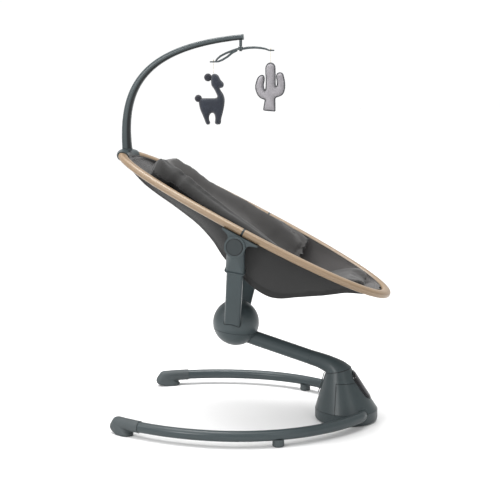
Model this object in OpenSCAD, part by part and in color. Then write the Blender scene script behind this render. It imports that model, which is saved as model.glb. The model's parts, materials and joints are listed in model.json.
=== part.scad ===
// Baby swing: a hammock seat in an oval ring, held by two uprights on an arm that
// swings about a tilted axle in a floor housing with two bowed legs.
// Frame: +X towards the foot end, +Y to the baby's left, +Z up, floor at Z = 0.

/* [Seat ring] */
// Distance from the hinge line to the outside of the ring at the head
ring_head = 378; // [360:1:390]
// Distance from the hinge line to the outside of the ring at the foot
ring_foot = 364; // [350:1:375]
// Width of the ring over its outside
ring_w = 374; // [364:1:384]
// Size of the ring tube across the plane of the ring
ring_tube_w = 24; // [20:1:26]
// Size of the ring tube square to the plane of the ring
ring_tube_h = 17; // [14:1:19]
// Angle between the ring and the floor in the upright position
ring_tilt = 26.9; // [25:0.1:28]
// Squareness of the oval's head half, where 2 is an ellipse
head_power = 2.3; // [2:0.1:2.6]
// Squareness of its foot half
foot_power = 2.16; // [2:0.02:2.4]
// Forward place of the middle of the ring at the hinge line
seat_x = 8.2; // [4:0.1:12]
// Height of the middle of the ring at the hinge line
seat_z = 476; // [470:1:482]

/* [Seat hinge] */
// Drop of the hinge line under the plane of the ring
hinge_drop = 34; // [32:1:36]
// Radius of the round boss on each ring bracket
boss_r = 24; // [23:0.5:25]
// Radius of each recline button
button_r = 18.4; // [17:0.1:19]
// Inward travel of each recline button
button_travel = 4; // [3:0.5:4.5]
// Radius of each hinge pin
hinge_pin_r = 6; // [5:0.5:7]

/* [Uprights] */
// Width of each upright strap
strap_w = 39.6; // [36:0.2:42]
// Thickness of each upright strap
strap_t = 12; // [10:0.5:13]
// Half of the distance between the straps where they meet the hub ball
strap_foot_y = 55; // [53:1:57]

/* [Hub and arm] */
// Radius of the hub ball
hub_r = 57; // [54:1:59]
// Forward place of the hub ball
hub_x = -43; // [-46:1:-40]
// Height of the centre of the hub ball
hub_z = 230; // [227:1:233]
// Outside radius of the arm tube
arm_r = 18; // [17:0.5:19]
// Fall of the arm tube towards the housing
arm_fall = 16.9; // [16:0.1:18]

/* [Housing] */
// Forward place of the centre of the housing
base_x = 231.5; // [228:0.5:235]
// Radius of the housing at the floor
base_r = 76; // [73:0.5:79]
// Height of the plain band at the foot of the housing
band_h = 28; // [26:0.5:30]
// Forward place of the middle of the seam between housing and elbow
seam_x = 211.4; // [209:0.2:214]
// Height of the middle of that seam
seam_z = 122; // [119:1:125]
// Radius of the housing and the elbow at the seam
seam_r = 31.5; // [30:0.5:33]
// Lean of the swing axle towards the head
swing_tilt = 13; // [11:0.5:15]

/* [Legs] */
// Outside radius of the leg tubes
leg_r = 12.5; // [11:0.5:14]
// Half of the greatest distance between the leg centrelines
leg_y = 268; // [260:1:276]
// Forward place of the widest point of the legs
leg_x = -53; // [-60:1:-46]
// Radius of the bow behind the widest point
leg_rear_bow = 368; // [360:1:376]
// Radius of the bow in front of the widest point
leg_front_bow = 485; // [470:5:500]

/* [Toy arch] */
// Size of the arch at its foot
arch_foot_t = 24; // [22:0.5:26]
// Size of the arch at its tip
arch_tip_t = 12.6; // [11:0.2:14]
// Forward place of the mobile stem
stem_x = -30.5; // [-33:0.5:-28]

/* [Hidden] */
$fn = 64;

big = 1000;              // larger than the whole object
eps = 0.5;               // overshoot of a cutting tool
gap = 0.4;               // play between parts that move past each other
fit = 0.05;              // radial play of a running or slide-on fit
wall = 3;                // wall of moulded shells

// ---------- colours ----------
slate = [0.36, 0.42, 0.43];
dark_slate = [0.24, 0.29, 0.30];
beech = [0.80, 0.67, 0.50];
charcoal = [0.24, 0.24, 0.24];
heather = [0.40, 0.39, 0.38];
black = [0.08, 0.08, 0.09];
steel = [0.70, 0.71, 0.72];
copper = [0.72, 0.45, 0.25];
board_green = [0.10, 0.32, 0.20];
navy = [0.20, 0.23, 0.28];
mauve = [0.62, 0.59, 0.60];
linen = [0.85, 0.83, 0.76];

// ---------- general helpers ----------
// Closed skin through rings of points; each ring turns right-handed about the path
module loft(rings) {
    n = len(rings[0]);
    m = len(rings);
    sides = [for (k = [0:m - 2]) for (i = [0:n - 1])
        let (a = k * n + i, b = k * n + (i + 1) % n, c = b + n, d = a + n)
        each [[a, d, c], [a, c, b]]];
    start_cap = [for (i = [0:n - 1]) i];
    end_cap = [for (i = [n - 1:-1:0]) (m - 1) * n + i];
    polyhedron(points = [for (r = rings) each r], faces = concat(sides, [start_cap], [end_cap]));
}

// Oval ring of points round c, with half-sizes a and b along the directions p and q
function oval(c, p, q, a, b, n, power = 2) = [for (i = [0:n - 1])
    let (t = 360 * i / n, s = 2 / power)
    c + p * a * sign(cos(t)) * pow(abs(cos(t)), s) + q * b * sign(sin(t)) * pow(abs(sin(t)), s)];

function unit(v) = v / norm(v);
function bezier(p, t) = pow(1 - t, 3) * p[0] + 3 * pow(1 - t, 2) * t * p[1]
    + 3 * (1 - t) * t * t * p[2] + pow(t, 3) * p[3];

// Round rod through points that lie close to an upright plane
module rod(path, r, sides) {
    last = len(path) - 1;
    loft([for (k = [0:last])
        let (t = unit(path[min(k + 1, last)] - path[max(k - 1, 0)]),
            p = unit(cross([0, 1, 0], t)), q = cross(t, p))
        oval(path[k], p, q, r[k], r[k], sides)]);
}

// Strip with round ends that follows a row of points, in the plane
module stroke(path, r) {
    for (p = path) translate(p) circle(r);
    for (k = [0:len(path) - 2]) {
        d = path[k + 1] - path[k];
        translate(path[k]) rotate(atan2(d[1], d[0])) translate([0, -r]) square([norm(d), 2 * r]);
    }
}

// Rectangle with round corners, centred, in the plane
module round_rect(w, h, r) {
    square([w, h - 2 * r], center = true);
    square([w - 2 * r, h], center = true);
    for (sx = [-1, 1]) for (sy = [-1, 1])
        translate([sx * (w / 2 - r), sy * (h / 2 - r)]) circle(r);
}

module above(z) translate([-big / 2, -big / 2, z]) cube(big);
module below(z) translate([-big / 2, -big / 2, z - big]) cube(big);
module right_side() mirror([0, 1, 0]) children();

// ---------- places ----------
function turn_y(p, a) = [p[0] * cos(a) + p[2] * sin(a), p[1], p[2] * cos(a) - p[0] * sin(a)];
function seat_point(p) = turn_y(p, ring_tilt) + [seat_x, 0, seat_z];
module seat_frame() translate([seat_x, 0, seat_z]) rotate([0, ring_tilt, 0]) children();
hinge = seat_point([0, 0, -hinge_drop]);
module hinge_frame() translate(hinge) children();
module swing_frame() translate([seam_x, 0, seam_z]) rotate([0, -swing_tilt, 0]) children();
hub = [hub_x, 0, hub_z];

// ================= base =================
cone_lean = 9;           // lean of the middle line of the cover
cone_slope = 24.4;       // flare of the cover about that line
cone_top = 6;            // the cone starts this far above the seam, before it is trimmed
cone_len = 125;          // and is this long, before it is trimmed
split_x = seam_x - 1.5;  // upright seam between the front and rear covers
split_z = 97;            // level seam above the rear cover
leg_z = 26;              // height of the leg centrelines
leg_wall = 1.4;          // wall of the leg tube
leg_rear_y = leg_y - leg_rear_bow;
leg_front_y = leg_y - leg_front_bow;
entry_angle = 29;        // where the rear bow turns in towards the housing
entry_r = 45;            // radius of that turn
entry_turn = 65;         // and its angle
entry_centre = [leg_x, leg_rear_y] + (leg_rear_bow - entry_r) * [cos(entry_angle), sin(entry_angle)];
front_angle = 20.4;      // where the bare tube meets the front foot
foot_angle = 28.5;       // the middle of the front foot's nose
mid_foot_x = 100;        // forward place of the feet half-way along the legs

module cone_frame() translate([seam_x, 0, seam_z]) rotate([0, -cone_lean, 0]) children();
module cone(inset) cone_frame() translate([0, 0, cone_top - cone_len])
    cylinder(h = cone_len, r1 = seam_r - cone_top * tan(cone_slope)
        + cone_len * tan(cone_slope) - inset, r2 = seam_r - cone_top * tan(cone_slope) - inset, $fn = 96);

// One leg's centreline as arcs, with the given section drawn round it
module leg_arc(cx, cy, bow, from, sweep) translate([cx, cy, leg_z]) rotate([0, 0, from])
    rotate_extrude(angle = sweep, $fn = 128) translate([bow, 0]) children();
module leg_run(front_end) {
    leg_arc(leg_x, leg_rear_y, leg_rear_bow, entry_angle, 90 - entry_angle) children();
    leg_arc(leg_x, leg_front_y, leg_front_bow, 90, front_end) children();
    leg_arc(entry_centre[0], entry_centre[1], entry_r, entry_angle - entry_turn, entry_turn) children();
}
module leg_hole() leg_run(2) circle(leg_r + gap, $fn = 48);
module both_leg_holes() { leg_hole(); right_side() leg_hole(); }

// The same centreline as rows of [place, outward direction] for the tube itself
function on_arc(cx, cy, bow, a) = [[cx + bow * cos(a), cy + bow * sin(a), leg_z], [cos(a), sin(a), 0]];
function leg_rows(extra) = concat(
    [for (k = [0:8]) on_arc(entry_centre[0], entry_centre[1], entry_r,
        entry_angle - entry_turn - 3 * extra + (entry_turn + 3 * extra) * k / 8)],
    [for (k = [1:18]) on_arc(leg_x, leg_rear_y, leg_rear_bow, entry_angle + (90 - entry_angle) * k / 18)],
    [for (k = [1:8]) on_arc(leg_x, leg_front_y, leg_front_bow, 90 + (front_angle + 2 + extra) * k / 8)]);
module leg_skin(r, extra, sides) loft([for (row = leg_rows(extra))
    oval(row[0], row[1], [0, 0, -1], r, r, sides)]);
module leg_tube() color(slate) difference() {
    leg_skin(leg_r, 0, 28);
    leg_skin(leg_r - leg_wall, 1, 16);
}

module front_foot() color(dark_slate) {
    shoe_r = leg_r + 1.8;
    toe_r = 14;
    pad_r = 15;
    nose = [leg_x - leg_front_bow * sin(foot_angle), leg_front_y + leg_front_bow * cos(foot_angle)];
    difference() {
        union() {
            leg_arc(leg_x, leg_front_y, leg_front_bow, 90 + front_angle, foot_angle - front_angle)
                circle(shoe_r, $fn = 48);
            hull() {
                translate([nose[0], nose[1], leg_z - 1]) sphere(shoe_r + 0.5, $fn = 32);
                translate([nose[0] - 8 * cos(foot_angle), nose[1] - 8 * sin(foot_angle), toe_r + 1])
                    sphere(toe_r, $fn = 32);
                for (pad = [foot_angle - 1.2, foot_angle - 3.2])
                    translate([leg_x - leg_front_bow * sin(pad), leg_front_y + leg_front_bow * cos(pad), 0])
                        cylinder(h = 5, r1 = pad_r, r2 = pad_r + 2, $fn = 48);
            }
        }
        leg_arc(leg_x, leg_front_y, leg_front_bow, 90 + front_angle - 1, 3.1)
            circle(leg_r + fit, $fn = 48);
    }
}

module mid_feet() color(dark_slate) for (side = [0, 1]) mirror([0, side, 0]) difference() {
    at = asin((mid_foot_x - leg_x) / leg_rear_bow);
    translate([mid_foot_x, leg_rear_y + leg_rear_bow * cos(at), 0])
        rotate_extrude() polygon([[0, 0], [11.5, 0], [13.5, 2], [13.5, 17], [0, 17]]);
    leg_arc(leg_x, leg_rear_y, leg_rear_bow, 90 - at - 5, 10) circle(leg_r + fit, $fn = 48);
}

jack_z = 15;             // height of the power inlet
jack_r = 5.5;            // its outside radius
jack_bore = 2.75;        // radius of the hole that a plug goes into
module base_pan() color(slate) difference() {
    translate([base_x, 0, 0]) rotate_extrude($fn = 128) difference() {
        union() {
            square([base_r - 8, band_h]);
            translate([0, 8]) square([base_r, band_h - 8]);
            translate([base_r - 8, 8]) circle(8);
        }
        translate([-eps, wall]) square([base_r - wall + eps, band_h]);
    }
    both_leg_holes();
    translate([base_x + base_r - 12, 0, jack_z]) rotate([0, 90, 0]) cylinder(h = 30, r = jack_r + fit);
    for (p = screw_places) translate([p[0], p[1], -eps]) {
        cylinder(h = 2, r = 4);
        cylinder(h = 10, r = 1.8);
    }
}

// Places of the housing screws in the floor of the pan
screw_places = [for (a = [45:90:315]) [base_x + 52 * cos(a), 46 * sin(a)]];
module housing_screws() color(steel) for (p = screw_places) translate([p[0], p[1], 0.3]) {
    cylinder(h = 1.1, r = 3.7);
    cylinder(h = 5, r = 1.5);
}

module cover_shell() difference() {
    intersection() {
        cone(0);
        above(band_h + gap);
        swing_frame() below(-gap);
    }
    intersection() {
        cone(wall);
        swing_frame() below(-gap - wall);
    }
    swing_frame() translate([0, 0, -20]) cylinder(h = 40, r = 12);
    both_leg_holes();
    panel_frame() panel_block(gap, -14, 20);
}
module rear_region(play) intersection() {
    above(0);
    below(split_z + play);
    translate([split_x - play, -big / 2, 0]) cube(big);
}
module housing_front() color(slate) difference() {
    cover_shell();
    rear_region(gap);
}
module housing_rear() color(slate) intersection() {
    cover_shell();
    rear_region(0);
}

// Control panel: an oval lens in a frame, both following the rear slope
slope = 90 - cone_slope - cone_lean;
slope_run = 49;          // from the seam down the slope to the middle of the panel
panel_len = 80;
panel_w = 46;
bezel_rim = 4;
module panel_frame() translate([seam_x + seam_r * cos(swing_tilt) + slope_run * cos(slope), 0,
    seam_z + seam_r * sin(swing_tilt) - slope_run * sin(slope)]) rotate([0, slope, 0]) children();
module panel_outline(inset)
    round_rect(panel_len - 2 * inset, panel_w - 2 * inset, panel_w / 2 - inset - 0.01);
module panel_block(grow, from, to) translate([0, 0, from])
    linear_extrude(to - from) panel_outline(-grow);
// The part of such a block that stands no more than "proud" above the housing's cone
module panel_skin(grow, from, proud) intersection() {
    panel_frame() panel_block(grow, from, 20);
    cone(-proud);
}
module control_bezel() color(dark_slate) difference() {
    panel_skin(0, -8, 2);
    panel_frame() panel_block(-bezel_rim, -8 - eps, 21);
}
module control_glass() color(black) panel_skin(-bezel_rim - gap / 2, -2.5, 3.2);
module main_board() color(board_green) panel_frame() panel_block(-bezel_rim - 1, -6, -3);

module dc_jack() color(black) translate([base_x + base_r - 14, 0, jack_z]) rotate([0, 90, 0])
    difference() {
        cylinder(h = 13, r = jack_r);
        translate([0, 0, 4]) cylinder(h = 9 + eps, r = jack_bore);
    }

// Frame that carries the swing axle's two bearings, and the drive coil
axle_r = 8;
bearing_r = 13;
coil_reach = 28;         // from the axle to the middle of the coil
plate_top = 6;           // top of the frame's floor plate
module drive_frame() color(dark_slate) difference() {
    union() {
        drive_tower();
        translate([base_x, 0, wall + 0.1]) cylinder(h = plate_top - wall - 0.1, r = 62);
    }
    for (p = screw_places) translate([p[0], p[1], 0]) cylinder(h = 10, r = 1.5 + fit);
    swing_frame() translate([0, 0, -84]) cylinder(h = 9, r = bearing_r);
}
module drive_tower() intersection() {
    above(wall + 0.1);
    swing_frame() difference() {
        union() {
            translate([0, 0, -130]) cylinder(h = 54, r = 17);
            translate([0, 0, -17]) cylinder(h = 11, r = 26);
            for (s = [-1, 1]) translate([-7, s * 22 - 3, -130]) cube([14, 6, 124]);
            translate([coil_reach, 0, -130]) cylinder(h = 58, r = 6);
        }
        translate([0, 0, -84]) cylinder(h = 9, r = bearing_r);
        translate([0, 0, -87.5]) cylinder(h = 6, r = axle_r + 1);
        translate([0, 0, -14]) cylinder(h = 9, r = bearing_r);
        translate([0, 0, -18]) cylinder(h = 9, r = axle_r + 1);
    }
}
module bearing(low) color(steel) swing_frame() translate([0, 0, low]) difference() {
    cylinder(h = 8, r = bearing_r - fit);
    translate([0, 0, -eps]) cylinder(h = 9, r = axle_r + fit);
}
module upper_bearing() bearing(-14);
module lower_bearing() bearing(-84);
module drive_coil() color(copper) swing_frame() translate([coil_reach, 0, -72]) difference() {
    cylinder(h = 9, r = 14);
    translate([0, 0, 1]) cylinder(h = 9, r = 6);
}
module speaker() color(black) translate([base_x - 38, 0, plate_top + 0.1]) {
    cylinder(h = 5, r = 12);
    translate([0, 0, 5]) cylinder(h = 5, r1 = 12, r2 = 20);
}
// Thin flap down the front of the housing
module front_trim_strip() color(black) translate([seam_x - seam_r - 2.5, -9, seam_z - 10])
    rotate([0, 15.5, 0]) translate([-2, 0, -48]) cube([2, 18, 48]);

// ================= arm =================
arm_start_x = -62;       // the tube starts inside the hub ball
arm_end_x = 142;         // and ends where the elbow starts
arm_line_z = 168.2;      // height of its centreline
arm_line_x = 83;         // at this place
arm_len = (arm_end_x - arm_start_x) / cos(arm_fall);
arm_wall = 2.4;
module arm_frame() translate([arm_start_x, 0, arm_line_z + (arm_line_x - arm_start_x) * tan(arm_fall)])
    rotate([0, 90 + arm_fall, 0]) children();
module arm_tube() color(slate) arm_frame() difference() {
    cylinder(h = arm_len, r = arm_r);
    translate([0, 0, -eps]) cylinder(h = arm_len + 2 * eps, r = arm_r - arm_wall);
}

// Elbow: sections fan round from across the tube to the seam while they widen.
// Each row gives the inner point's x and z, the lean of the section and its size.
elbow_rows = [
    [arm_end_x - 5.2, 132.7, 90 - arm_fall, 2 * arm_r + 0.4],
    [157, 126.5, 70, 37.5],
    [167, 122, 58, 40.5],
    [173.5, 118.5, 45, 45],
    [177.5, 116.5, 32, 51.5],
    [179.5, 115.5, 21, 58],
    [seam_x - seam_r * cos(swing_tilt) - gap * sin(swing_tilt),
        seam_z - seam_r * sin(swing_tilt) + gap * cos(swing_tilt), swing_tilt, 2 * seam_r]];
module arm_elbow() color(slate) {
    difference() {
        loft([for (r = elbow_rows)
            let (across = [cos(r[2]), 0, sin(r[2])], middle = [r[0], 0, r[1]] + across * r[3] / 2)
            oval(middle, across, [0, -1, 0], r[3] / 2, r[3] / 2, 44)]);
        swing_frame() translate([0, 0, -eps]) cylinder(h = 22 + eps, r = axle_r + fit);
    }
    arm_frame() translate([0, 0, arm_len - 26]) cylinder(h = 30, r = arm_r - arm_wall - fit);
}
module swing_axle() color(steel) swing_frame() translate([0, 0, -86]) cylinder(h = 107, r = axle_r);
module magnet_carrier() color(dark_slate) swing_frame() difference() {
    union() {
        translate([0, 0, -56]) cylinder(h = 10, r = 14);
        translate([10, -10, -56]) cube([coil_reach - 1, 20, 5]);
    }
    translate([0, 0, -60]) cylinder(h = 20, r = axle_r + fit);
}
module drive_magnets() color(steel) swing_frame() for (s = [-1, 1])
    translate([coil_reach, s * 6.5, -60]) cylinder(h = 4, r = 5.5);

// Hub ball in two shells, parted a little below its middle
split_drop = 18;
split_fall = 6.6;
module split_frame() translate(hub) rotate([0, split_fall, 0]) translate([0, 0, -split_drop]) children();
module ball_shell() translate(hub) difference() {
    sphere(hub_r, $fn = 96);
    sphere(hub_r - wall, $fn = 96);
}
module hub_lower_shell() color(slate) difference() {
    intersection() { ball_shell(); split_frame() below(-gap / 2); }
    arm_frame() translate([0, 0, 40]) cylinder(h = 60, r = arm_r + gap);
}
module hub_upper_shell() color(slate) difference() {
    intersection() { ball_shell(); split_frame() above(gap / 2); }
    for (s = [0, 1]) mirror([0, s, 0]) upright_frame() translate([0, 0, -30]) linear_extrude(60)
        round_rect(strap_w + 2 * gap, strap_t + 2 * gap, 5);
    arm_frame() translate([0, 0, 40]) cylinder(h = 60, r = arm_r + gap);
}
module hub_core() color(dark_slate) difference() {
    intersection() {
        translate(hub) sphere(hub_r - wall - gap);
        union() {
            arm_frame() translate([0, 0, -6]) cylinder(h = 60, r = arm_r + 4);
            for (s = [0, 1]) mirror([0, s, 0]) upright_frame() translate([-25, -11, -34]) cube([50, 22, 26]);
            translate(hub + [-14, -44, -14]) cube([28, 88, 20]);
        }
    }
    arm_frame() cylinder(h = 100, r = arm_r + fit);
    for (s = [0, 1]) mirror([0, s, 0]) upright_frame() translate([0, 0, strap_root]) linear_extrude(60)
        round_rect(strap_w + 2 * fit, strap_t + 2 * fit, 5);
    for (p = hub_screw_places) translate(hub + [p[0], p[1], -60]) cylinder(h = 120, r = 3.2);
}
hub_screw_places = [[-30, 22], [-30, -22]];
module hub_screws() color(steel) for (p = hub_screw_places) translate(hub + [p[0], p[1], -34]) {
    cylinder(h = 50, r = 2.2);
    cylinder(h = 3, r = 4);
}

// ---------- uprights ----------
strap_foot = [-41, strap_foot_y, 244.5];
hinge_disc_y = 175.25;   // middle of the disc at the top of each upright
disc_t = 16.5;           // thickness of that disc
disc_r = 20.5;           // and its radius, which clears the plate under the ring
strap_run = hinge + [0, hinge_disc_y, 0] - strap_foot;
strap_len = norm(strap_run);
strap_side_lean = asin(strap_run[1] / strap_len);
strap_fore_lean = atan2(strap_run[0], strap_run[2]);
strap_root = -20;        // the straps reach this far into the ball
lip_at = 160;            // distance up the strap to the sleeve's lip
module upright_frame() translate(strap_foot) rotate([0, strap_fore_lean, 0])
    rotate([-strap_side_lean, 0, 0]) children();
snap_at = 20;            // distance up the strap to the snap button
snap_r = 4;
module upright() color(slate) upright_frame() difference() {
    translate([0, 0, strap_root]) linear_extrude(205 - strap_root) round_rect(strap_w, strap_t, 5);
    translate([0, -strap_t / 2 + 5, snap_at]) rotate([90, 0, 0]) cylinder(h = 10, r = snap_r + 0.3);
}
module snap_button() color(dark_slate) upright_frame() translate([0, -strap_t / 2 + 1.4, snap_at])
    rotate([90, 0, 0]) cylinder(h = 4, r = snap_r);
module upright_sleeve() color(slate) difference() {
    union() {
        translate(hinge + [0, hinge_disc_y + disc_t / 2, 0]) rotate([90, 0, 0])
            cylinder(h = disc_t, r = disc_r, $fn = 96);
        hull() {
            translate(hinge + [0, hinge_disc_y + disc_t / 2, 0]) rotate([90, 0, 0])
                cylinder(h = disc_t, r = disc_r - 1, $fn = 48);
            upright_frame() translate([0, 0, lip_at + 2]) linear_extrude(1)
                round_rect(strap_w + 5, strap_t + 6, 6, $fn = 32);
        }
        upright_frame() translate([0, 0, lip_at]) linear_extrude(3) round_rect(strap_w + 9, strap_t + 10, 7);
    }
    upright_frame() translate([0, 0, lip_at - 5]) linear_extrude(52)
        round_rect(strap_w + 2 * fit, strap_t + 2 * fit, 5);
    hinge_frame() rotate([-90, 0, 0]) cylinder(h = 300, r = hinge_pin_r + fit);
}
module hinge_pin() color(steel) translate(hinge + [0, hinge_disc_y - disc_t / 2, 0])
    rotate([-90, 0, 0]) cylinder(h = 22, r = hinge_pin_r);

// ================= seat =================
tube_a = ring_tube_w / 2;
tube_b = ring_tube_h / 2;
head_run = ring_head - tube_a;
foot_run = ring_foot - tube_a;
half_w = ring_w / 2 - tube_a;
joint_t = 5;             // thickness of the dark collar between the two ring halves
// Centreline of the ring for an angle of 0 at the foot and 180 at the head
function run_of(x) = x > 0 ? foot_run : head_run;
function power_of(x) = x > 0 ? foot_power : head_power;
function ring_at(t) = let (s = 2 / power_of(cos(t))) [run_of(cos(t)) * sign(cos(t)) * pow(abs(cos(t)), s),
    half_w * sign(sin(t)) * pow(abs(sin(t)), s), 0];
function ring_out(t) = let (s = 2 - 2 / power_of(cos(t)))
    unit([sign(cos(t)) * pow(abs(cos(t)), s) / run_of(cos(t)),
        sign(sin(t)) * pow(abs(sin(t)), s) / half_w, 0]);
// Half-width of the ring's centreline at a distance u along it
function ring_half(u) = half_w * pow(max(0, 1 - pow(abs(u) / run_of(u), power_of(u))), 1 / power_of(u));
module ring_part(from, to, steps, grow) seat_frame() loft([for (k = [0:steps])
    let (t = from + (to - from) * k / steps)
    oval(ring_at(t), ring_out(t), [0, 0, -1], tube_a + grow, tube_b + grow, 20)]);
// Angle that stands for half of the collar on the side x of the hinge line
function joint_angle(x) = 90 - acos(pow(joint_t / 2 / run_of(x), power_of(x) / 2));
module ring_foot_tube() color(beech) difference() {
    ring_part(-90 + joint_angle(1), 90 - joint_angle(1), 44, 0);
    spigots(spigot_run + 2, spigot_r + fit);
}
module ring_head_tube() color(beech) difference() {
    ring_part(90 + joint_angle(-1), 270 - joint_angle(-1), 44, 0);
    spigots(spigot_run + 2, spigot_r + fit);
}
spigot_run = 28;         // the collars' spigots reach this far into both halves
spigot_r = 4;
module spigots(run, r) seat_frame() for (s = [-1, 1]) translate([-run, s * half_w, 0])
    rotate([0, 90, 0]) cylinder(h = 2 * run, r = r);
module ring_joints() color(dark_slate) {
    seat_frame() for (s = [-1, 1]) translate([-joint_t / 2 + 0.1, s * half_w, 0]) rotate([90, 0, 90])
        linear_extrude(joint_t - 0.2) round_rect(ring_tube_w - 1, ring_tube_h - 1, tube_b - 0.51);
    spigots(spigot_run, spigot_r);
}

bracket_in = 184;        // inner face of the boss
bracket_out = 199;       // outer face of the boss
pocket_y = 190;          // floor of the button's pocket
wing = 45;               // half-length of the wing under the ring
module ring_bracket() color(slate) difference() {
    union() {
        seat_frame() translate([0, 0, -hinge_drop]) {
            translate([0, bracket_out, 0]) rotate([90, 0, 0])
                cylinder(h = bracket_out - bracket_in, r = boss_r, $fn = 96);
            translate([0, bracket_out - 4, 0]) rotate([90, 0, 0])
                linear_extrude(bracket_out - 4 - bracket_in)
                difference() {
                    polygon([[-boss_r + 1, 0], [-wing + 12, 19], [-wing, 22.5], [-wing, 25.3],
                        [wing, 25.3], [wing, 22.5], [wing - 12, 19], [boss_r - 1, 0]]);
                    for (s = [-1, 1]) translate([s * 35, 7.5]) circle(11.4);
                }
        }
        seat_frame() translate([-wing, 168, -tube_b - 3.4]) cube([2 * wing, bracket_out - 4 - 168, 3.2]);
    }
    hinge_frame() rotate([-90, 0, 0]) cylinder(h = 300, r = hinge_pin_r + fit);
    hinge_frame() translate([0, pocket_y, 0]) rotate([-90, 0, 0]) cylinder(h = 20, r = button_r + 0.5);
}
module recline_button() color(slate) translate(hinge + [0, bracket_out - 3.5, 0])
    rotate([-90, 0, 0]) {
        cylinder(h = 4, r = button_r, $fn = 96);
        translate([0, 0, 4]) cylinder(h = 1, r1 = button_r, r2 = button_r - 1, $fn = 96);
    }

// ---------- seat fabric ----------
// Depth of the lower seam under the ring along its length
depth_rows = [[-366, 6], [-340, 9], [-300, 17], [-240, 28], [-170, 37], [-100, 51], [-60, 67], [-25, 87],
    [10, 100], [40, 110], [70, 118], [100, 121], [120, 119], [140, 111], [170, 91], [220, 59], [270, 26],
    [300, 16], [330, 8], [352, 6]];
stations = [-346, -336, -312, -280, -240, -200, -160, -120, -80, -50, -25, 0, 25, 50, 75, 100, 120, 140, 165,
    195, 225, 255, 280, 305, 325, 338];
seam_y = 100;            // half-width of the hammock's bottom between its seams
sag = 12;                // sag of the bottom between them
shell_t = 3;             // thickness of the hammock
liner_t = 5;             // thickness of the padded liner
liner_gap = 1;           // measured along the axes, so the two stay apart on slopes
side_steps = 4;
base_steps = 8;
function depth(u) = lookup(u, depth_rows);
// The fabric's edge runs this far inside the ring tube
edge_gap = 1.2;
rim_rows = [for (t = [0:1.5:180]) let (p = ring_at(t) - ring_out(t) * (tube_a + edge_gap))
    [p[0], abs(p[1])]];
function edge_y(u) = lookup(u, rim_rows);
function floor_y(u) = min(seam_y, 0.86 * edge_y(u));
// Open line across the hammock from the right edge to the left one, moved inwards by "in"
function across(u, in) = let (e = edge_y(u) - in, f = min(floor_y(u) - in, e * 0.97),
    d = max(depth(u) - in, 0.8)) [
    for (k = [0:side_steps - 1]) let (s = k / side_steps) [u, -e + (e - f) * pow(s, 1.6), -d * s],
    for (k = [0:base_steps]) let (s = 2 * k / base_steps - 1)
        [u, f * s, -d - sag * min(1, d / 40) * (1 - s * s)],
    for (k = [side_steps - 1:-1:0]) let (s = k / side_steps) [u, e - (e - f) * pow(s, 1.6), -d * s]];
function reversed(v) = [for (k = [len(v) - 1:-1:0]) v[k]];
module skin(from, to, in, thick) seat_frame() loft([for (u = stations) if (u >= from && u <= to)
    concat(across(u, in), reversed(across(u, in + thick)))]);
module clip_room() ring_part(176 - clip_sweep, 184 + clip_sweep, 14, 4.4);
module seat_shell() color(charcoal) difference() {
    skin(-346, 338, 0, shell_t);
    clip_room();
}
module seat_liner() color(heather) skin(-336, 325, shell_t + liner_gap, liner_t);

inlay_in = shell_t + liner_t + 2.2 * liner_gap;
wing_rows = [[-290, 26], [-250, 38], [-200, 30], [-150, 20], [-100, 16], [0, 12], [60, 10], [100, 6],
    [125, 3]];
pad_t = 26;
// Closed ring of points round the inlay: its under side follows the liner
function inlay_ring(u) = let (h = lookup(u, wing_rows), outer = across(u, inlay_in), e = -outer[0][1],
    f = e * 0.5, low = max(depth(u) - inlay_in - pad_t, 0)) concat(
    [for (p = outer) [u, p[1] * 0.985, p[2]]],
    [[u, e * 0.93, h * 0.6], [u, e * 0.80, h], [u, e * 0.66, h * 0.72], [u, f, h * 0.2 - low * 0.35],
        [u, f * 0.6, -low * 0.85], [u, 0, -low], [u, -f * 0.6, -low * 0.85], [u, -f, h * 0.2 - low * 0.35],
        [u, -e * 0.66, h * 0.72], [u, -e * 0.80, h], [u, -e * 0.93, h * 0.6]]);
module newborn_inlay() color(heather) seat_frame()
    loft([for (u = [-285, -265, -230, -190, -150, -110, -70, -30, 10, 45, 80, 110, 125]) inlay_ring(u)]);

// ---------- harness ----------
harness_u = 62;          // along the seat to the buckle
function seat_floor(u) = -(max(depth(u) - inlay_in - pad_t, 0));
module harness_buckle() color(black) seat_frame() translate([harness_u, 0, seat_floor(harness_u) + 30])
    rotate([0, 10, 0]) linear_extrude(12) round_rect(42, 50, 8);
module crotch_strap() color(black) seat_frame()
    translate([harness_u + 3, -14, seat_floor(harness_u) + 4]) cube([3, 28, 24]);
module waist_straps() color(black) seat_frame() for (s = [0, 1]) mirror([0, s, 0])
    translate([harness_u - 14, 26, seat_floor(harness_u) + 35]) rotate([16, 0, 0]) cube([26, 32, 2.5]);

// ================= toy arch =================
arch_foot = [-314.2, 0, 655];
arch_ctrl = [arch_foot, [-325.5, 0, 802], [-274, 0, 899.5], [stem_x + 4.8, 0, 920.7]];
arch_steps = 26;
arch_spigot = 22;
function arch_size(t) = arch_foot_t + (arch_tip_t - arch_foot_t) * pow(t, 0.7);
arch_dir = unit(arch_ctrl[1] - arch_ctrl[0]);
arch_lean = atan2(arch_dir[0], arch_dir[2]);
module arch_foot_frame() translate(arch_foot) rotate([0, arch_lean, 0]) children();
module arch_tube() color(slate) difference() {
    loft([for (k = [0:arch_steps])
        let (t = k / arch_steps, c = bezier(arch_ctrl, t),
            d = unit(bezier(arch_ctrl, min(t + 0.01, 1)) - bezier(arch_ctrl, max(t - 0.01, 0))),
            out = [-d[2], 0, d[0]], s = arch_size(t) / 2)
        oval(c, out, [0, -1, 0], s, s * 1.1, 20, 2.5)]);
    arch_foot_frame() translate([0, 0, -eps]) cylinder(h = arch_spigot + 2, r = 8 + fit);
    translate([stem_x, 0, 880]) cylinder(h = 36.5, r = 3.5 + fit);
}
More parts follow.
